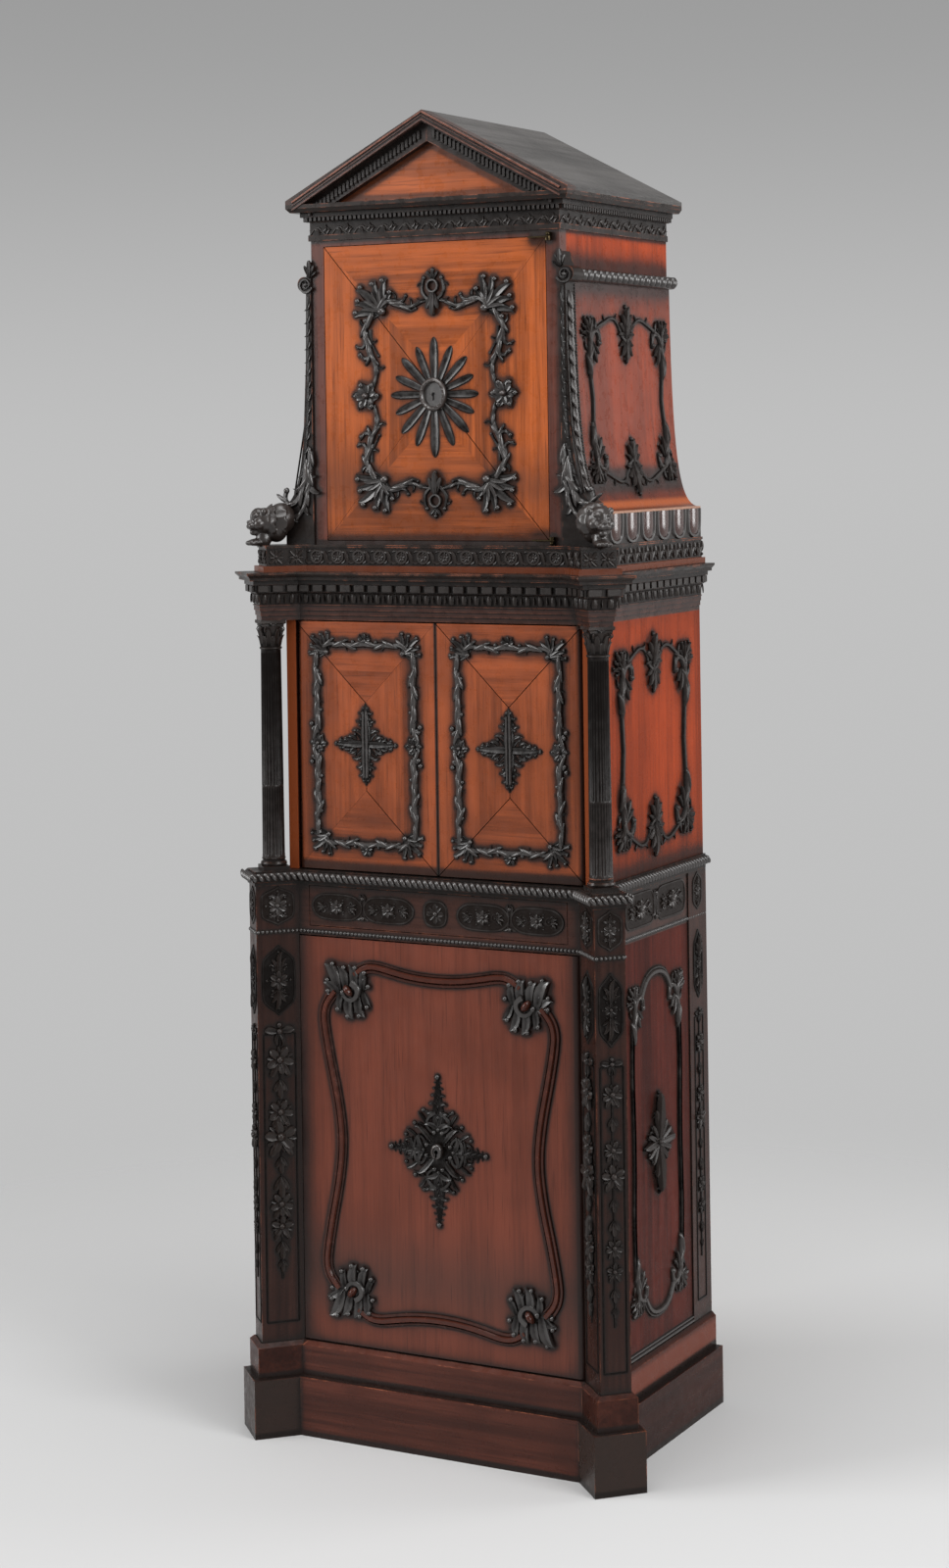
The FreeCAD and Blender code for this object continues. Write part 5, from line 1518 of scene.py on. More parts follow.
def fuse(obj, voxel, smooth):
    """Melt overlapping forms to one carved skin."""
    take(obj)
    melt = obj.modifiers.new("melt", "REMESH")
    melt.mode = "VOXEL"
    melt.voxel_size = voxel
    bpy.ops.object.modifier_apply(modifier=melt.name)
    soften = obj.modifiers.new("soften", "SMOOTH")
    soften.iterations = smooth
    bpy.ops.object.modifier_apply(modifier=soften.name)
    bpy.ops.object.shade_smooth()
    return obj


LION = (                                # middle and half sizes: across, up and out of the face
    (0, 0, 0, 20, 21, 20), (0, 6, 17, 5.5, 11, 6), (0, -7, 17, 10, 8, 10), (0, 12, 10, 13, 9, 10),
    (0, -1, 25.5, 4.6, 3.2, 3.2), (0, -17, 16, 6, 5, 8), (0, -11, -18, 21, 22, 18), (0, 4, -26, 22, 24, 22),
    (0, -27, 2, 11, 15, 12), (0, -32, 14, 12, 6, 13))
LION_PAIRS = (
    (5.2, -7.5, 22.5, 5.6, 5.2, 5.4), (7.5, 9.5, 16.5, 6.5, 3.2, 4.5), (7.6, 4.2, 17.4, 3.4, 2.8, 2.8),
    (12.5, -4, 11, 7.5, 8.5, 9), (16, 15, 5, 5, 6, 4.5), (8.6, -33, 22, 3.8, 4.2, 6),
    (2.9, -33, 25, 3.4, 4.2, 5.5))


def mane(bag):
    """Broad locks of hair in two rings, combed back from the face."""
    for count, radius, depth, size, lean, start in ((9, 15, -1, 20, 50, 0), (9, 19, -13, 22, 74, 20)):
        for k in range(count):
            turn = start + 360 * k / count
            place = Matrix.Rotation(math.radians(turn), 4, "Z") @ Matrix.Translation((0, radius, depth))
            place = place @ Matrix.Rotation(math.radians(-lean), 4, "X") @ at(0, -3, size, 0, 3.0, 0.6)
            stamp(bag, motif("lobe"), place)


def lion_head():
    bag = [ball(*form) for form in LION]
    for form in LION_PAIRS:
        bag.append(ball(*form))
        bag.append(ball(-form[0], *form[1:]))
    mane(bag)
    return fuse(join(bag, "lion"), 1.1, 14)


class CABINET_OT_lions(bpy.types.Operator):
    """Carve the lion's heads on the consoles"""
    bl_idname = "cabinet.lions"
    bl_label = "Lion's heads"

    def execute(self, context):
        one = lion_head()
        bag = []
        for side in (-1, 1):
            stamp(bag, one, ground(side * LION_MIDDLE.x, LION_MIDDLE.y, LION_MIDDLE.z, (Q, side * Q, 0)))
        discard(one)
        piece = case_piece(join(bag, "carved_lions"), "carved_lions", lambda co: 0.7, "frieze")
        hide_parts("lion_heads")
        return {"FINISHED"}


# Frames on the side panels

def both_sides(obj, name, spot, relief=9.0, bend=None, finish="carving"):
    """Set a carving on the right side of the case and its mirror image on the left."""
    for side, tag in ((1, "right"), (-1, "left")):
        copy = stamp([], obj, Matrix.Diagonal((side, 1, 1, 1)))
        place = ground(side * spot.x, spot.y, spot.z, (0, side, 0))
        settle(copy, name + "_" + tag, place, "case", FINISH[finish], relief, bend)
    discard(obj)


def side_spot(node, back, rise):
    """A place on the outer face of a right side board, back and up from the middle of that face."""
    low, high = edges(node)
    return Vector((high.x, (low.y + high.y) / 2 + back, (low.z + high.z) / 2 + rise))


def leaf_corner(bag, x, y, size):
    """A corner of scrolls: leaves up into it, a scroll turning in, leaves hanging, and the end of the bar."""
    fan(bag, x + size * 0.16, y + size * 0.08, -32, size * 0.42, 0.9)
    scroll = ((0.2, -0.66), (0.2, -0.3), (0.14, 0.06), (-0.06, 0.2), (-0.24, 0.1), (-0.22, -0.06))
    stem(bag, spots(size, size, scroll, x, y), size * 0.085, size * 0.045, size * 0.07)
    hanging = ((0.04, -0.04, 140, 0.34), (0.08, -0.06, 164, 0.42), (0.12, -0.06, 190, -0.34))
    fingers(bag, sized(size, size, hanging, x, y), 1.3, 1.0)
    curled = ((0.1, -0.2, 120, 0.28), (0.22, -0.2, -70, -0.24), (-0.06, 0.18, 20, 0.26))
    curls(bag, sized(size, size, curled, x, y))


def palmette(bag, y, tall, way=1):
    """A standing leaf with a hanging one below it, joined by curls."""
    up, down = (0, 180) if way > 0 else (180, 0)
    standing = ((0, 0.6), (20, -0.5), (-20, 0.5), (48, -0.42), (-48, 0.42), (78, -0.36), (-78, 0.36))
    hanging = ((0, 0.52), (22, -0.46), (-22, 0.46), (50, -0.36), (-50, 0.36))
    fingers(bag, [(0, y, up + turn, tall * reach) for turn, reach in standing], 1.5, 0.9)
    fingers(bag, [(0, y, down + turn, tall * reach) for turn, reach in hanging], 1.5, 0.9)
    for side in (-1, 1):
        curl = spots(side * tall, way * tall, ((0.04, -0.1), (0.2, -0.02), (0.3, 0.14), (0.22, 0.24)), 0, y)
        stem(bag, curl, tall * 0.055, tall * 0.035, tall * 0.05, False)
    knobs(bag, [(0, y + way * tall * 0.59), (0, y - way * tall * 0.51)], tall * 0.05)


@carved
def side_frame(bag, wide, tall, corner, arch, bar=4.4):
    """A frame of leaf corners, scrolled arches, middle palmettes and plain side bars, by its half sizes."""
    x, y = wide - corner * 0.36, tall - corner * 0.56
    leaf_corner(bag, x, y, corner)
    stem(bag, [(x - corner * 0.06, y + corner * 0.2), (wide * 0.52, tall - 16), (wide * 0.36, tall - 9),
               (wide * 0.2, tall - 15), (wide * 0.12, tall - arch * 0.55)], 3.6, 2.8, 0, False)
    curls(bag, [(wide * 0.32, tall - 10, 95, 15), (wide * 0.48, tall - 14, -80, -13)])
    rib(bag, [(x + corner * 0.2, y - corner * 0.5), (wide - 17, y * 0.3), (wide - 20, 0)], bar)
    quarter_copies(bag)
    palmette(bag, tall - arch * 0.55, arch * 1.15)
    palmette(bag, -tall + arch * 0.55, arch * 1.15, -1)


# Hollow curves of the aprons and of the consoles: out from the top tier's side, and up from the aprons' foot
FLARE = ((47, 48), (16.9, 54.8), (6, 123), (4, 389))
SWEEP = ((50, 62), (22.5, 71.8), (10, 153.1), (8, 387.5))


def on_hollow(bezier, z0):
    """A bend that lays carving, drawn about a height, on a hollow curve of the top tier's side."""
    corners = [Vector((TOP_SIDE + out, APRON_LOW.z + up, 0)) for out, up in bezier]
    curve = interpolate_bezier(*corners, 60)

    def bend(co):
        height = co.y + z0
        for low, high in zip(curve, curve[1:]):
            if low.y <= height:
                share, start, way = (height - low.y) / (high.y - low.y), low, high - low
        spot = start + way * share
        out = Vector((way.y, -way.x, 0)).normalized()
        return Vector((co.x, spot.y - z0 + out.y * co.z, spot.x - TOP_SIDE + out.x * co.z))
    return bend


@carved
def base_side_frame(bag):
    leaf_corner(bag, 64, 214, 72)
    side = mirrored_line([(82, 186), (86, 120), (83, 50), (82, 0)], False)
    rib(bag, side, 4.4)
    rib(bag, offset_line(side, -6), 2.2)
    mirror_copies(bag)
    arch = mirrored_line([(50, 226), (40, 243), (22, 254), (0, 257)], True)
    rib(bag, arch, 4.6)
    rib(bag, offset_line(arch, -6), 2.4)
    curls(bag, [(38, 240, 40, 16), (-38, 240, -40, -16)])
    mirror_copies(bag, across=False, updown=True)


@carved
def base_side_star(bag):
    lobes(bag, [(0, 4, 0, 70), (0, 4, -16, 48), (4, 0, -90, 48), (4, 2, -68, 38), (2, 2, -40, 36)], 0.8, 0.65)
    curls(bag, [(6, 30, -24, 20), (14, 14, -44, 20), (24, 4, -70, 18)])
    knobs(bag, [(0, 75), (0, 66), (51, 0), (24, 26), (12, 44), (36, 12)], 3.4)
    quarter_copies(bag)
    put(bag, "rosette6", 0, 0, 14, high=1.6)


@carved
def plinth_astragal(bag, half):
    """Two thin beads along the foot of a side panel."""
    rib(bag, [(-half, 3), (half, 3)], 2.8)
    rib(bag, [(-half, 8.6), (half, 8.6)], 2.0)


class CABINET_OT_side_panels(bpy.types.Operator):
    """Carve the frames on the side panels of the three tiers"""
    bl_idname = "cabinet.side_panels"
    bl_label = "Side panel carving"

    def execute(self, context):
        spot = side_spot("mid_sides", 13.93, -1.9)
        both_sides(side_frame(127.5, 158.5, 84, 68), "mid_side_frame", spot, finish="dull")
        spot = side_spot("top_sides", 9.93, -18.4)
        hollow = on_hollow(FLARE, spot.z)
        both_sides(side_frame(140, 134, 78, 66), "top_side_frame", spot, bend=hollow, finish="dull")
        spot = side_spot("base_sides", 19.315, -1.5)
        both_sides(base_side_frame(), "base_side_frame", spot, finish="frieze")
        spot = side_spot("base_sides", 23.815, -4.5)
        both_sides(base_side_star(), "base_side_star", spot, finish="dull")
        low, high = edges("base_sides")
        spot = side_spot("base_sides", 0, (low.z - high.z) / 2)
        both_sides(plinth_astragal((high.y - low.y) / 2), "plinth_astragal", spot, 3)
        return {"FINISHED"}


# Posts and friezes

def sheet(points, thick):
    """A thin closed sheet with a smooth outline."""
    curve = bpy.data.curves.new("sheet", "CURVE")
    curve.dimensions = "2D"
    curve.fill_mode = "BOTH"
    curve.extrude = thick
    curve.resolution_u = 4
    return curve_mesh(curve, [(x, y, 1) for x, y in points], cyclic=True, angle=30)


def cartouche(bag, points, rim=1.8):
    """A dark ground with a raised rim."""
    bag.append(sheet(points, 0.6))
    rib(bag, points, rim, cyclic=True)


def four_fold(points):
    """An outline from its upper right quarter, listed from the top to the side."""
    right = points + [(x, -y) for x, y in reversed(points)]
    return right + [(-x, y) for x, y in reversed(right)]


def ogee_outline(wide, tall):
    """An upright cartouche with pointed ends."""
    quarter = ((0.2, 0.9), (0.62, 0.76), (0.95, 0.6), (1, 0.3))
    return four_fold([(0.4, tall)] + spots(wide, tall, quarter))


def oval_outline(wide, tall):
    return four_fold(spots(wide, tall, ((0.3, 1), (0.72, 0.9), (1, 0.35))))


def post_flower(bag, wide, tall):
    """A small flower ringed with beads, with sprays above and below, filling an upright cartouche."""
    put(bag, "rosette6", 0, 0, wide * 0.6, high=1.2)
    knobs(bag, round_points(0, 0, wide * 0.74, 6), wide * 0.11)
    spray = ((0, 0.68), (18, -0.52), (-18, 0.52), (44, -0.34), (-44, 0.34))
    for way, heading in ((1, 0), (-1, 180)):
        fingers(bag, [(0, way * tall * 0.2, heading + turn, tall * reach) for turn, reach in spray], 1.5, 0.9)
        for side in (-1, 1):
            curls(bag, [(0, way * tall * 0.34, heading - side * 40, side * wide * 0.7)])
        knobs(bag, spots(wide, way * tall, ((0, 0.86), (0.46, 0.48), (-0.46, 0.48))), wide * 0.1)


DROP = (                                # share of the length, kind and size of each link of the chain
    (0.12, "flower", 1.0), (0.22, "husk", 0.8), (0.33, "flower", 0.9), (0.43, "flower", 1.15),
    (0.53, "husk", 0.7), (0.61, "husk", 0.9), (0.7, "flower", 0.85), (0.79, "flower", 0.8),
    (0.87, "husk", 0.75), (0.94, "husk", 0.55))


def pendant(bag, y, length, wide):
    """A bow with a hanging chain of flowers and husks."""
    rib(bag, [(0, y), (0, y - length)], 1.8)
    for side in (-1, 1):
        put(bag, "petal", 0, y - 2, wide * 0.95, -side * 82, 0.8, 0.8)
        curls(bag, [(0, y - 3, 180 + side * 36, side * wide * 0.9)])
    put(bag, "bead", 0, y - 2, wide * 0.22, high=1.4)
    put(bag, "bead", 0, y + wide * 0.3, wide * 0.2, high=1.2)
    for share, kind, size in DROP:
        spot = y - length * share
        if kind == "flower":
            put(bag, "rosette5", 0, spot, wide * 0.9 * size, share * 360, high=1.3)
            lobes(bag, [(0, spot, 150, wide * size * 1.15), (0, spot, 210, wide * size * 1.15)], 1.2, 1.0)
        else:
            lobes(bag, [(0, spot + wide * 0.3, 152, wide * size), (0, spot + wide * 0.3, 208, wide * size),
                        (0, spot + wide * 0.2, 180, wide * size * 1.3)], 1.4, 1.1)


@carved
def post_face(bag, wide):
    """Carving for one face of a post, drawn about the base door's middle height."""
    half = wide * 0.37
    cartouche(bag, ogee_outline(half, 52))
    post_flower(bag, half, 50)
    shift(bag, Matrix.Translation((0, 240, 0)))
    panel = [(-half, 158), (half, 158), (half, -282), (-half, -282)]
    for start, end in zip(panel, panel[1:] + panel[:1]):
        rib(bag, [start, end], 1.3)
    pendant(bag, 164, 380, half)


@carved
def block_face(bag, wide):
    """Carving for one face of the frieze's corner blocks."""
    half = wide * 0.37
    cartouche(bag, ogee_outline(half, 28))
    post_flower(bag, half, 26)


def post_places():
    """The carved faces of the posts: name, ground at height zero, and width."""
    inner = on_diagonal(-POST_HALF - (BASE_FRONT - COLUMN.y) / Q, -POST_HALF)
    corner = on_diagonal(POST_FACE, -POST_HALF)
    rear = side_spot("rear_posts", -1.57, 0)
    for side, tag in ((-1, "_left"), (1, "_right")):
        x, y = on_diagonal(POST_FACE, 0)
        yield "post" + tag, ground(side * x, y, 0, (Q, side * Q, 0)), 2 * POST_HALF
        x, y = (inner[0] + corner[0]) / 2, (inner[1] + corner[1]) / 2
        yield "return" + tag, ground(side * x, y, 0, (Q, -side * Q, 0)), math.dist(inner, corner)
        yield "rear_post" + tag, ground(side * rear.x, rear.y, 0, (0, side, 0)), REAR_POST_WIDE


class CABINET_OT_posts(bpy.types.Operator):
    """Carve the cartouches and hanging flowers on the posts"""
    bl_idname = "cabinet.posts"
    bl_label = "Post carving"

    def execute(self, context):
        drop = Matrix.Translation((0, middle("base_door").z + BASE_DOOR_RISE, 0))
        block = Matrix.Translation((0, FRIEZE_MIDDLE, 0))
        for name, place, wide in post_places():
            carve(post_face(wide), place @ drop, "case", 7, "dull", name + "_drop")
            carve(block_face(wide), place @ block, "case", 7, "frieze", name + "_block")
        return {"FINISHED"}


def leaf_spray(bag, wide, tall):
    """Fine scrolls and leaves about a small flower, filling an oval."""
    rib(bag, oval_outline(wide * 1.02, tall * 1.02), 0.9, cyclic=True)
    put(bag, "rosette6", 0, 0, tall * 0.72, high=1.6)
    for way in (-1, 1):
        put(bag, "volute", way * wide * 0.56, 0, tall * 0.44, 90, way, 1.3)
        spray = [(way * wide * 0.62, 0, -way * turn, way * wide * 0.36) for turn in (56, 90, 124)]
        fingers(bag, spray, 1.8, 1.4)
        for level in (-1, 1):
            up, hand = 90 - level * 90, way * level
            curls(bag, [(way * wide * 0.12, level * tall * 0.3, up - hand * 52, hand * tall * 0.62),
                        (way * wide * 0.56, level * tall * 0.2, up - hand * 20, hand * tall * 0.6)])
            knobs(bag, spots(way * wide, level * tall, ((0.3, 0.72), (0.74, 0.44))), 1.6)


@carved
def drawer_cartouches(bag):
    """Two pinched double ovals and a roundel with a plain flower."""
    for x in OVAL_MIDDLES:
        unit = []
        cartouche(unit, oval_outline(43, 19))
        leaf_spray(unit, 36, 15)
        bag += shift(unit, Matrix.Translation((x, 0, 0)))
    pinch = sum(OVAL_MIDDLES) / 2
    for way in (-1, 1):
        curls(bag, [(pinch - 2, way * 10, 90 - way * 60, 12), (pinch + 2, way * 10, -90 + way * 60, -12)])
        put(bag, "bead", pinch, way * 15, 3.4, high=1.2)
        rib(bag, [(pinch + way * 4, -13), (pinch + way, 0), (pinch + way * 4, 13)], 1.6)
    mirror_copies(bag)
    swells = (0.94, 1.1) * 4
    cartouche(bag, [(x * swell, y * swell) for (x, y), swell in zip(round_points(0, 0, 21, 8), swells)])
    for k in range(4):
        put(bag, "petal", 0, 0, 15, 90 * k, 0.95, 0.6)
        lobes(bag, [(0, 0, 90 * k + 45, 14)], 1.0, 0.7)
    put(bag, "boss", 0, 0, 4, high=1.2)


@carved
def side_cartouches(bag):
    """Two squarish cartouches of leaves with a pinched joint between."""
    unit = []
    cartouche(unit, four_fold([(26, 25), (44, 24), (50, 10)]))
    leaf_spray(unit, 40, 20)
    for x in (-56, 56):
        stamp_all(bag, unit, Matrix.Translation((x, 0, 0)))
    discard(*unit)
    for way in (-1, 1):
        curls(bag, [(-2, way * 8, 90 - way * 50, 16), (2, way * 8, -90 + way * 50, -16)])
        put(bag, "bead", 0, way * 18, 4, high=1.2)
        rib(bag, [(way * 4, -16), (0, 0), (way * 4, 16)], 2)


class CABINET_OT_frieze(bpy.types.Operator):
    """Carve the cartouches of the drawer and of the frieze's sides"""
    bl_idname = "cabinet.frieze"
    bl_label = "Frieze carving"

    def execute(self, context):
        carve(drawer_cartouches(), front_of("drawer_front"), "drawer", 6, "frieze")
        spot = side_spot("frieze_sides", 24.815, 6.8)
        both_sides(side_cartouches(), "side_cartouches", spot, 7, finish="frieze")
        return {"FINISHED"}


# Carved bands of the upper tiers

def ring_scroll(unit, share):
    """A ring with a rosette, linked to the next by a leaf."""
    put(unit, "ring", 0, 0, 9.6, high=0.9)
    put(unit, "rosette5", 0, 0, 7.5, high=0.9)
    for way in (-1, 1):
        curls(unit, [(way * 8, way * 8, -way * 100, 13), (way * 6, -way * 9, -way * 75, -11)])
    put(unit, "lobe", share / 2, -11, 20, 14, 1.0, 0.6)


def dense_leaves(unit, share):
    for turn in range(0, 360, 45):
        put(unit, "lobe", 0, 0, 14 if turn % 90 else 11, turn, 1.3, 0.8)
    put(unit, "bead", 0, 0, 3.4)


def leaf_and_dart(unit, share):
    for way in (-1, 1):
        curls(unit, [(way * 2, -11, -way * 14, way * 20), (way * share * 0.5, 11, 180 + way * 14, way * 17)])
    put(unit, "lobe", 0, -11, 21, 0, 0.9, 0.6)
    put(unit, "bead", share * 0.5, -9, 2.6)


def leaf_scroll(unit, share):
    """One wave of a running leaf scroll."""
    rib(unit, spots(share, 1, ((-0.5, -6), (-0.3, 5), (-0.05, 6), (0.1, -2), (0.3, -7), (0.5, -6))), 1.6)
    curls(unit, [(-share * 0.3, 4, -100, 13), (share * 0.1, 0, -60, -12)])
    curls(unit, [(share * 0.25, -6, -20, 13), (-share * 0.1, 6, -130, 11)])
    put(unit, "volute", share * 0.02, -1, 5, 0, 1, 1.2)
    put(unit, "bead", share * 0.36, 4, 2.4)


def rake_line(drop):
    """The right foot and the apex, in the front's plane, of a line below the pediment's slope by a drop."""
    low, high = edges("raking_cornices")
    slope = math.atan2(high.z - low.z, high.x)
    down = drop / math.cos(slope)
    return Vector((high.x, low.z - down, 0)), Vector((0, high.z - down, 0))


def rake_dentils(count=29):
    """Dentils along the two slopes under the pediment's raking cornice."""
    bag = []
    foot, apex = rake_line(RAKE_DENTIL_DROP)
    for side in (-1, 1):
        for k in range(count):
            spot = foot.lerp(apex, 0.13 + 0.83 * (k + 0.5) / count)
            place = ground(side * spot.x, TOP_FRONT - RAKE_DENTIL_OUT, spot.y, (1, 0, 0))
            stamp(bag, motif("dentil"), place @ at(0, 0, 13, 0, 0.37, 0.26, lift=-0.5))
    return join(bag, "raking_dentils")


def rake_ribs():
    """Thin worn ribs along the edges of the raking cornice."""
    bag = []
    for drop, radius in ((2.6, 2.3), (12.8, 2.0), (7.4, 1.3)):
        foot, apex = rake_line(drop)
        start = foot.lerp(apex, 0.05)
        for side in (-1, 1):
            rib(bag, [(side * start.x, start.y), (0, apex.y)], radius)
    return join(bag, "raking_ribs")


class CABINET_OT_bands(bpy.types.Operator):
    """Carve the scrolled bands of the attic and the top frieze, and the raking dentils"""
    bl_idname = "cabinet.bands"
    bl_label = "Carved bands"

    def execute(self, context):
        z = ATTIC_MIDDLE
        run = attic_run(0)
        row("attic_scrolls", run[4:6], 37, z, ring_scroll, 0.6, "dull")
        for tag, part in (("left", run[1:5]), ("right", run[5:9])):
            row("attic_blocks_" + tag, part, 27, z, dense_leaves, 0.6, "dull")
        row("attic_leaves_left", run[0:2], 30, z, leaf_and_dart, 0.6, "dull")
        row("attic_leaves_right", run[8:10], 30, z, leaf_and_dart, 0.6, "dull")
        frieze_middle = (FRIEZE_LOW.z + FRIEZE_HIGH.z) / 2
        row("top_frieze_scrolls", top_run(1), 40, frieze_middle, leaf_scroll, 0.6, "dull")
        carve(rake_ribs(), ground(0, edges("raking_cornices")[0].y, 0, (1, 0, 0)), "case", 2.2, "worn_rib")
        case_piece(rake_dentils(), "raking_dentils", lambda co: 0.5, "dull")
        return {"FINISHED"}


# Consoles of the top tier

@carved
def console_scales(bag):
    """Leaf scales lapping down the outer face of a console, between beaded edges."""
    for k in range(14):
        y = 132 - 21 * k
        put(bag, "scale", 0, y, 27, 180, 0.78, 0.8)
        put(bag, "lobe", 0, y - 2, 21, 180, 0.7, 1.0)
    for k in range(62):
        y = 140 - 4.9 * k
        put(bag, "bead", 15.5, y, 2.1)
    rib(bag, [(-15.5, 142), (-15.5, -165)], 1.8)


@carved
def console_front(bag):
    """The scroll, finial and acanthus on the front face of a console, drawn about the top tier's side."""
    put(bag, "volute", 9, 155, 13, 200, 1, 1.2)
    put(bag, "rosette5", 9, 155, 6, high=1.4)
    lobes(bag, [(2, 166, 0, 26), (2, 166, 24, 20), (2, 166, -24, 20), (2, 166, 55, 15)], 0.9, 0.7)
    knobs(bag, [(2, 190)], 2.6)
    edge = [(7, 138), (7.5, 60), (8, -20), (11, -80), (18, -130), (34, -165)]
    rib(bag, offset_line(edge, -1.5), 2.2)
    for x, y, heading in walk(edge, 20):
        put(bag, "hook", x - 5, y, 17, heading + 12, -0.9, 0.8)
    stem(bag, [(10, -120), (14, -150), (26, -176), (44, -184), (54, -172), (48, -160)], 6.5, 4, 5)
    stem(bag, [(4, -100), (6, -150), (16, -190), (36, -204), (58, -196)], 5, 4, 5)
    curls(bag, [(8, -150, 150, 26), (14, -176, 190, 24), (30, -196, 235, 22), (12, -130, 140, 22)])


class CABINET_OT_consoles(bpy.types.Operator):
    """Carve the leaf scales, beads, scrolls and finials of the consoles"""
    bl_idname = "cabinet.consoles"
    bl_label = "Consoles"

    def execute(self, context):
        low, high = edges("consoles")
        spot = Vector((TOP_SIDE, (low.y + high.y) / 2, CONSOLE_MIDDLE))
        both_sides(console_scales(), "console_scales", spot, 6, on_hollow(SWEEP, CONSOLE_MIDDLE), "frieze")
        front = console_front()
        for side, tag in ((1, "right"), (-1, "left")):
            copy = stamp([], front, Matrix.Diagonal((side, 1, 1, 1)))
            place = ground(side * TOP_SIDE, low.y, CONSOLE_MIDDLE, (1, 0, 0))
            carve(copy, place, "case", 8, name="console_front_" + tag)
        discard(front)
        return {"FINISHED"}


# The studio

CAMERA_PLACE = (2.1369, -3.9397, 1.5178)
CAMERA_TURN = math.radians(27.587)
CAMERA_DIP = math.radians(0.2513)
CAMERA_ROLL = math.radians(-0.8198)
FOCAL_PIXELS = 2967.9
IMAGE = (968, 1600)
MIDDLE_PIXEL = (535.87, 458.72)
SENSOR_WIDTH = 36
SOFTBOXES = (                           # name of the setting for its power, place and size in metres
    ("key", (-4.0, -3.2, 2.9), 2.6), ("fill", (4.0, -1.2, 2.6), 2.2),
    ("rear", (3.4, 2.6, 1.8), 1.8), ("top", (0.3, -0.8, 4.6), 2.6))


def softbox(name, place, size, power):
    """A square area lamp aimed at the middle of the cabinet, a metre up."""
    deselect()
    bpy.ops.object.light_add(type="AREA", location=place)
    lamp = bpy.context.object
    lamp.name = name
    lamp.data.shape = "SQUARE"
    lamp.data.size = size
    lamp.data.energy = power
    lamp.rotation_euler = (UP - Vector(place)).to_track_quat("-Z", "Y").to_euler()


def camera_ray(tree):
    """One for what the camera, a reflection or a clear surface sees directly."""
    path = add(tree, "ShaderNodeLightPath")
    seen = math_node(tree, "MAXIMUM", path.outputs["Is Camera Ray"], path.outputs["Is Glossy Ray"])
    return math_node(tree, "MAXIMUM", seen, path.outputs["Is Transmission Ray"])


def studio_floor():
    """A round pale floor that fades out towards its edge."""
    deselect()
    bpy.ops.mesh.primitive_circle_add(vertices=96, radius=2.4, fill_type="NGON")
    floor = bpy.context.object
    floor.name = "studio_floor"
    material, tree, shader, place = start_material("studio_floor")
    shader.inputs["Base Color"].default_value = (*finishes().floor, 1)
    shader.inputs["Roughness"].default_value = 0.7
    shader.inputs["Specular IOR Level"].default_value = 0.2
    distance = add(tree, "ShaderNodeVectorMath", operation="LENGTH")
    wire(tree, place, distance.inputs[0])
    fade = add(tree, "ShaderNodeMixShader")
    wire(tree, rescale(tree, distance.outputs["Value"], 1.0, 2.3), fade.inputs[0])
    wire(tree, shader.outputs[0], fade.inputs[1])
    wire(tree, add(tree, "ShaderNodeBsdfTransparent").outputs[0], fade.inputs[2])
    wire(tree, fade.outputs[0], tree.nodes["Material Output"].inputs["Surface"])
    floor.data.materials.append(material)


def backdrop(scene, strength):
    """Even white light all round, behind which the camera sees a grey that darkens upwards."""
    scene.world = bpy.data.worlds.new("studio")
    scene.world.use_nodes = True
    tree = scene.world.node_tree
    plain = tree.nodes["Background"]
    plain.inputs["Color"].default_value = (1, 1, 1, 1)
    plain.inputs["Strength"].default_value = strength
    height = split(tree, add(tree, "ShaderNodeTexCoord").outputs["Generated"])[2]
    grey = blend(tree, rescale(tree, height, -0.02, 0.17), (0.53, 0.53, 0.53), (0.33, 0.33, 0.33))
    seen = add(tree, "ShaderNodeBackground")
    wire(tree, grey, seen.inputs["Color"])
    mix = add(tree, "ShaderNodeMixShader")
    wire(tree, camera_ray(tree), mix.inputs[0])
    wire(tree, plain.outputs[0], mix.inputs[1])
    wire(tree, seen.outputs[0], mix.inputs[2])
    wire(tree, mix.outputs[0], tree.nodes["World Output"].inputs["Surface"])


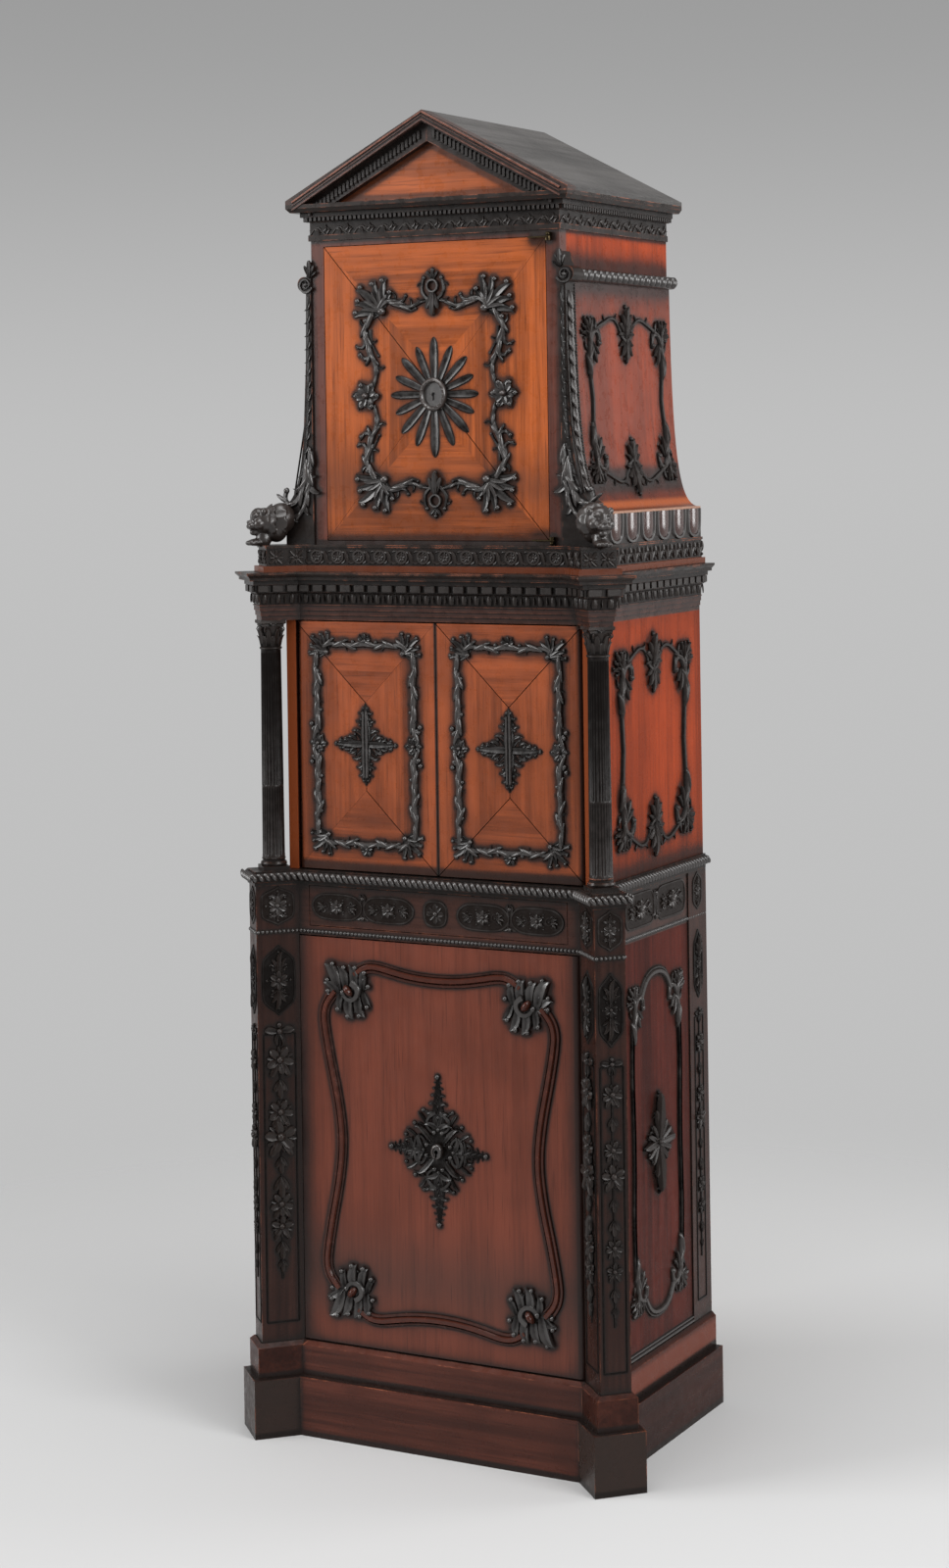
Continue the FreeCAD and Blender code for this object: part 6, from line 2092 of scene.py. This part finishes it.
def aim_camera(scene):
    """Stand the camera where the photograph was taken from."""
    aim = Matrix.Rotation(CAMERA_TURN, 4, "Z") @ Matrix.Rotation(math.pi / 2 - CAMERA_DIP, 4, "X")
    deselect()
    bpy.ops.object.camera_add()
    camera = bpy.context.object
    camera.name = "photo_camera"
    camera.matrix_world = Matrix.Translation(CAMERA_PLACE) @ aim @ Matrix.Rotation(CAMERA_ROLL, 4, "Z")
    camera.data.sensor_fit = "HORIZONTAL"
    camera.data.sensor_width = SENSOR_WIDTH
    camera.data.lens = FOCAL_PIXELS / IMAGE[0] * SENSOR_WIDTH
    camera.data.shift_x = (IMAGE[0] / 2 - MIDDLE_PIXEL[0]) / IMAGE[0]
    camera.data.shift_y = (MIDDLE_PIXEL[1] - IMAGE[1] / 2) / IMAGE[0]
    camera.data.clip_end = 100
    scene.camera = camera


class CABINET_OT_studio(bpy.types.Operator):
    """Set up the floor, soft lights, backdrop and camera"""
    bl_idname = "cabinet.studio"
    bl_label = "Studio"

    def execute(self, context):
        settings = context.scene.cabinet_studio
        context.scene.view_settings.view_transform = "Standard"
        studio_floor()
        for name, place, size in SOFTBOXES:
            softbox(name + "_softbox", place, size, getattr(settings, name))
        backdrop(context.scene, settings.room)
        aim_camera(context.scene)
        return {"FINISHED"}


STEPS = (CABINET_OT_finish_case, CABINET_OT_columns, CABINET_OT_rows, CABINET_OT_top_door,
         CABINET_OT_mid_doors, CABINET_OT_base_door, CABINET_OT_lions, CABINET_OT_side_panels,
         CABINET_OT_posts, CABINET_OT_frieze, CABINET_OT_bands, CABINET_OT_consoles, CABINET_OT_studio)


class CABINET_PT_panel(bpy.types.Panel):
    """Lists the steps that dress the cabinet"""
    bl_idname = "CABINET_PT_panel"
    bl_label = "Medal cabinet"
    bl_space_type = "VIEW_3D"
    bl_region_type = "UI"
    bl_category = "Cabinet"

    def draw(self, context):
        for step in STEPS:
            self.layout.operator(step.bl_idname)


SETTINGS = (("cabinet_finishes", CabinetFinishes), ("cabinet_carving", CabinetCarving),
            ("cabinet_studio", CabinetStudio))


def register():
    for name, group in SETTINGS:
        bpy.utils.register_class(group)
        setattr(bpy.types.Scene, name, PointerProperty(type=group))
    for cls in STEPS + (CABINET_PT_panel,):
        bpy.utils.register_class(cls)


def unregister():
    for cls in reversed(STEPS + (CABINET_PT_panel,)):
        bpy.utils.unregister_class(cls)
    for name, group in reversed(SETTINGS):
        delattr(bpy.types.Scene, name)
        bpy.utils.unregister_class(group)


def main():
    register()
    for step in STEPS:
        group, name = step.bl_idname.split(".")
        getattr(getattr(bpy.ops, group), name)()
    discard(*MOTIFS.values())


if __name__ == "__main__":
    main()
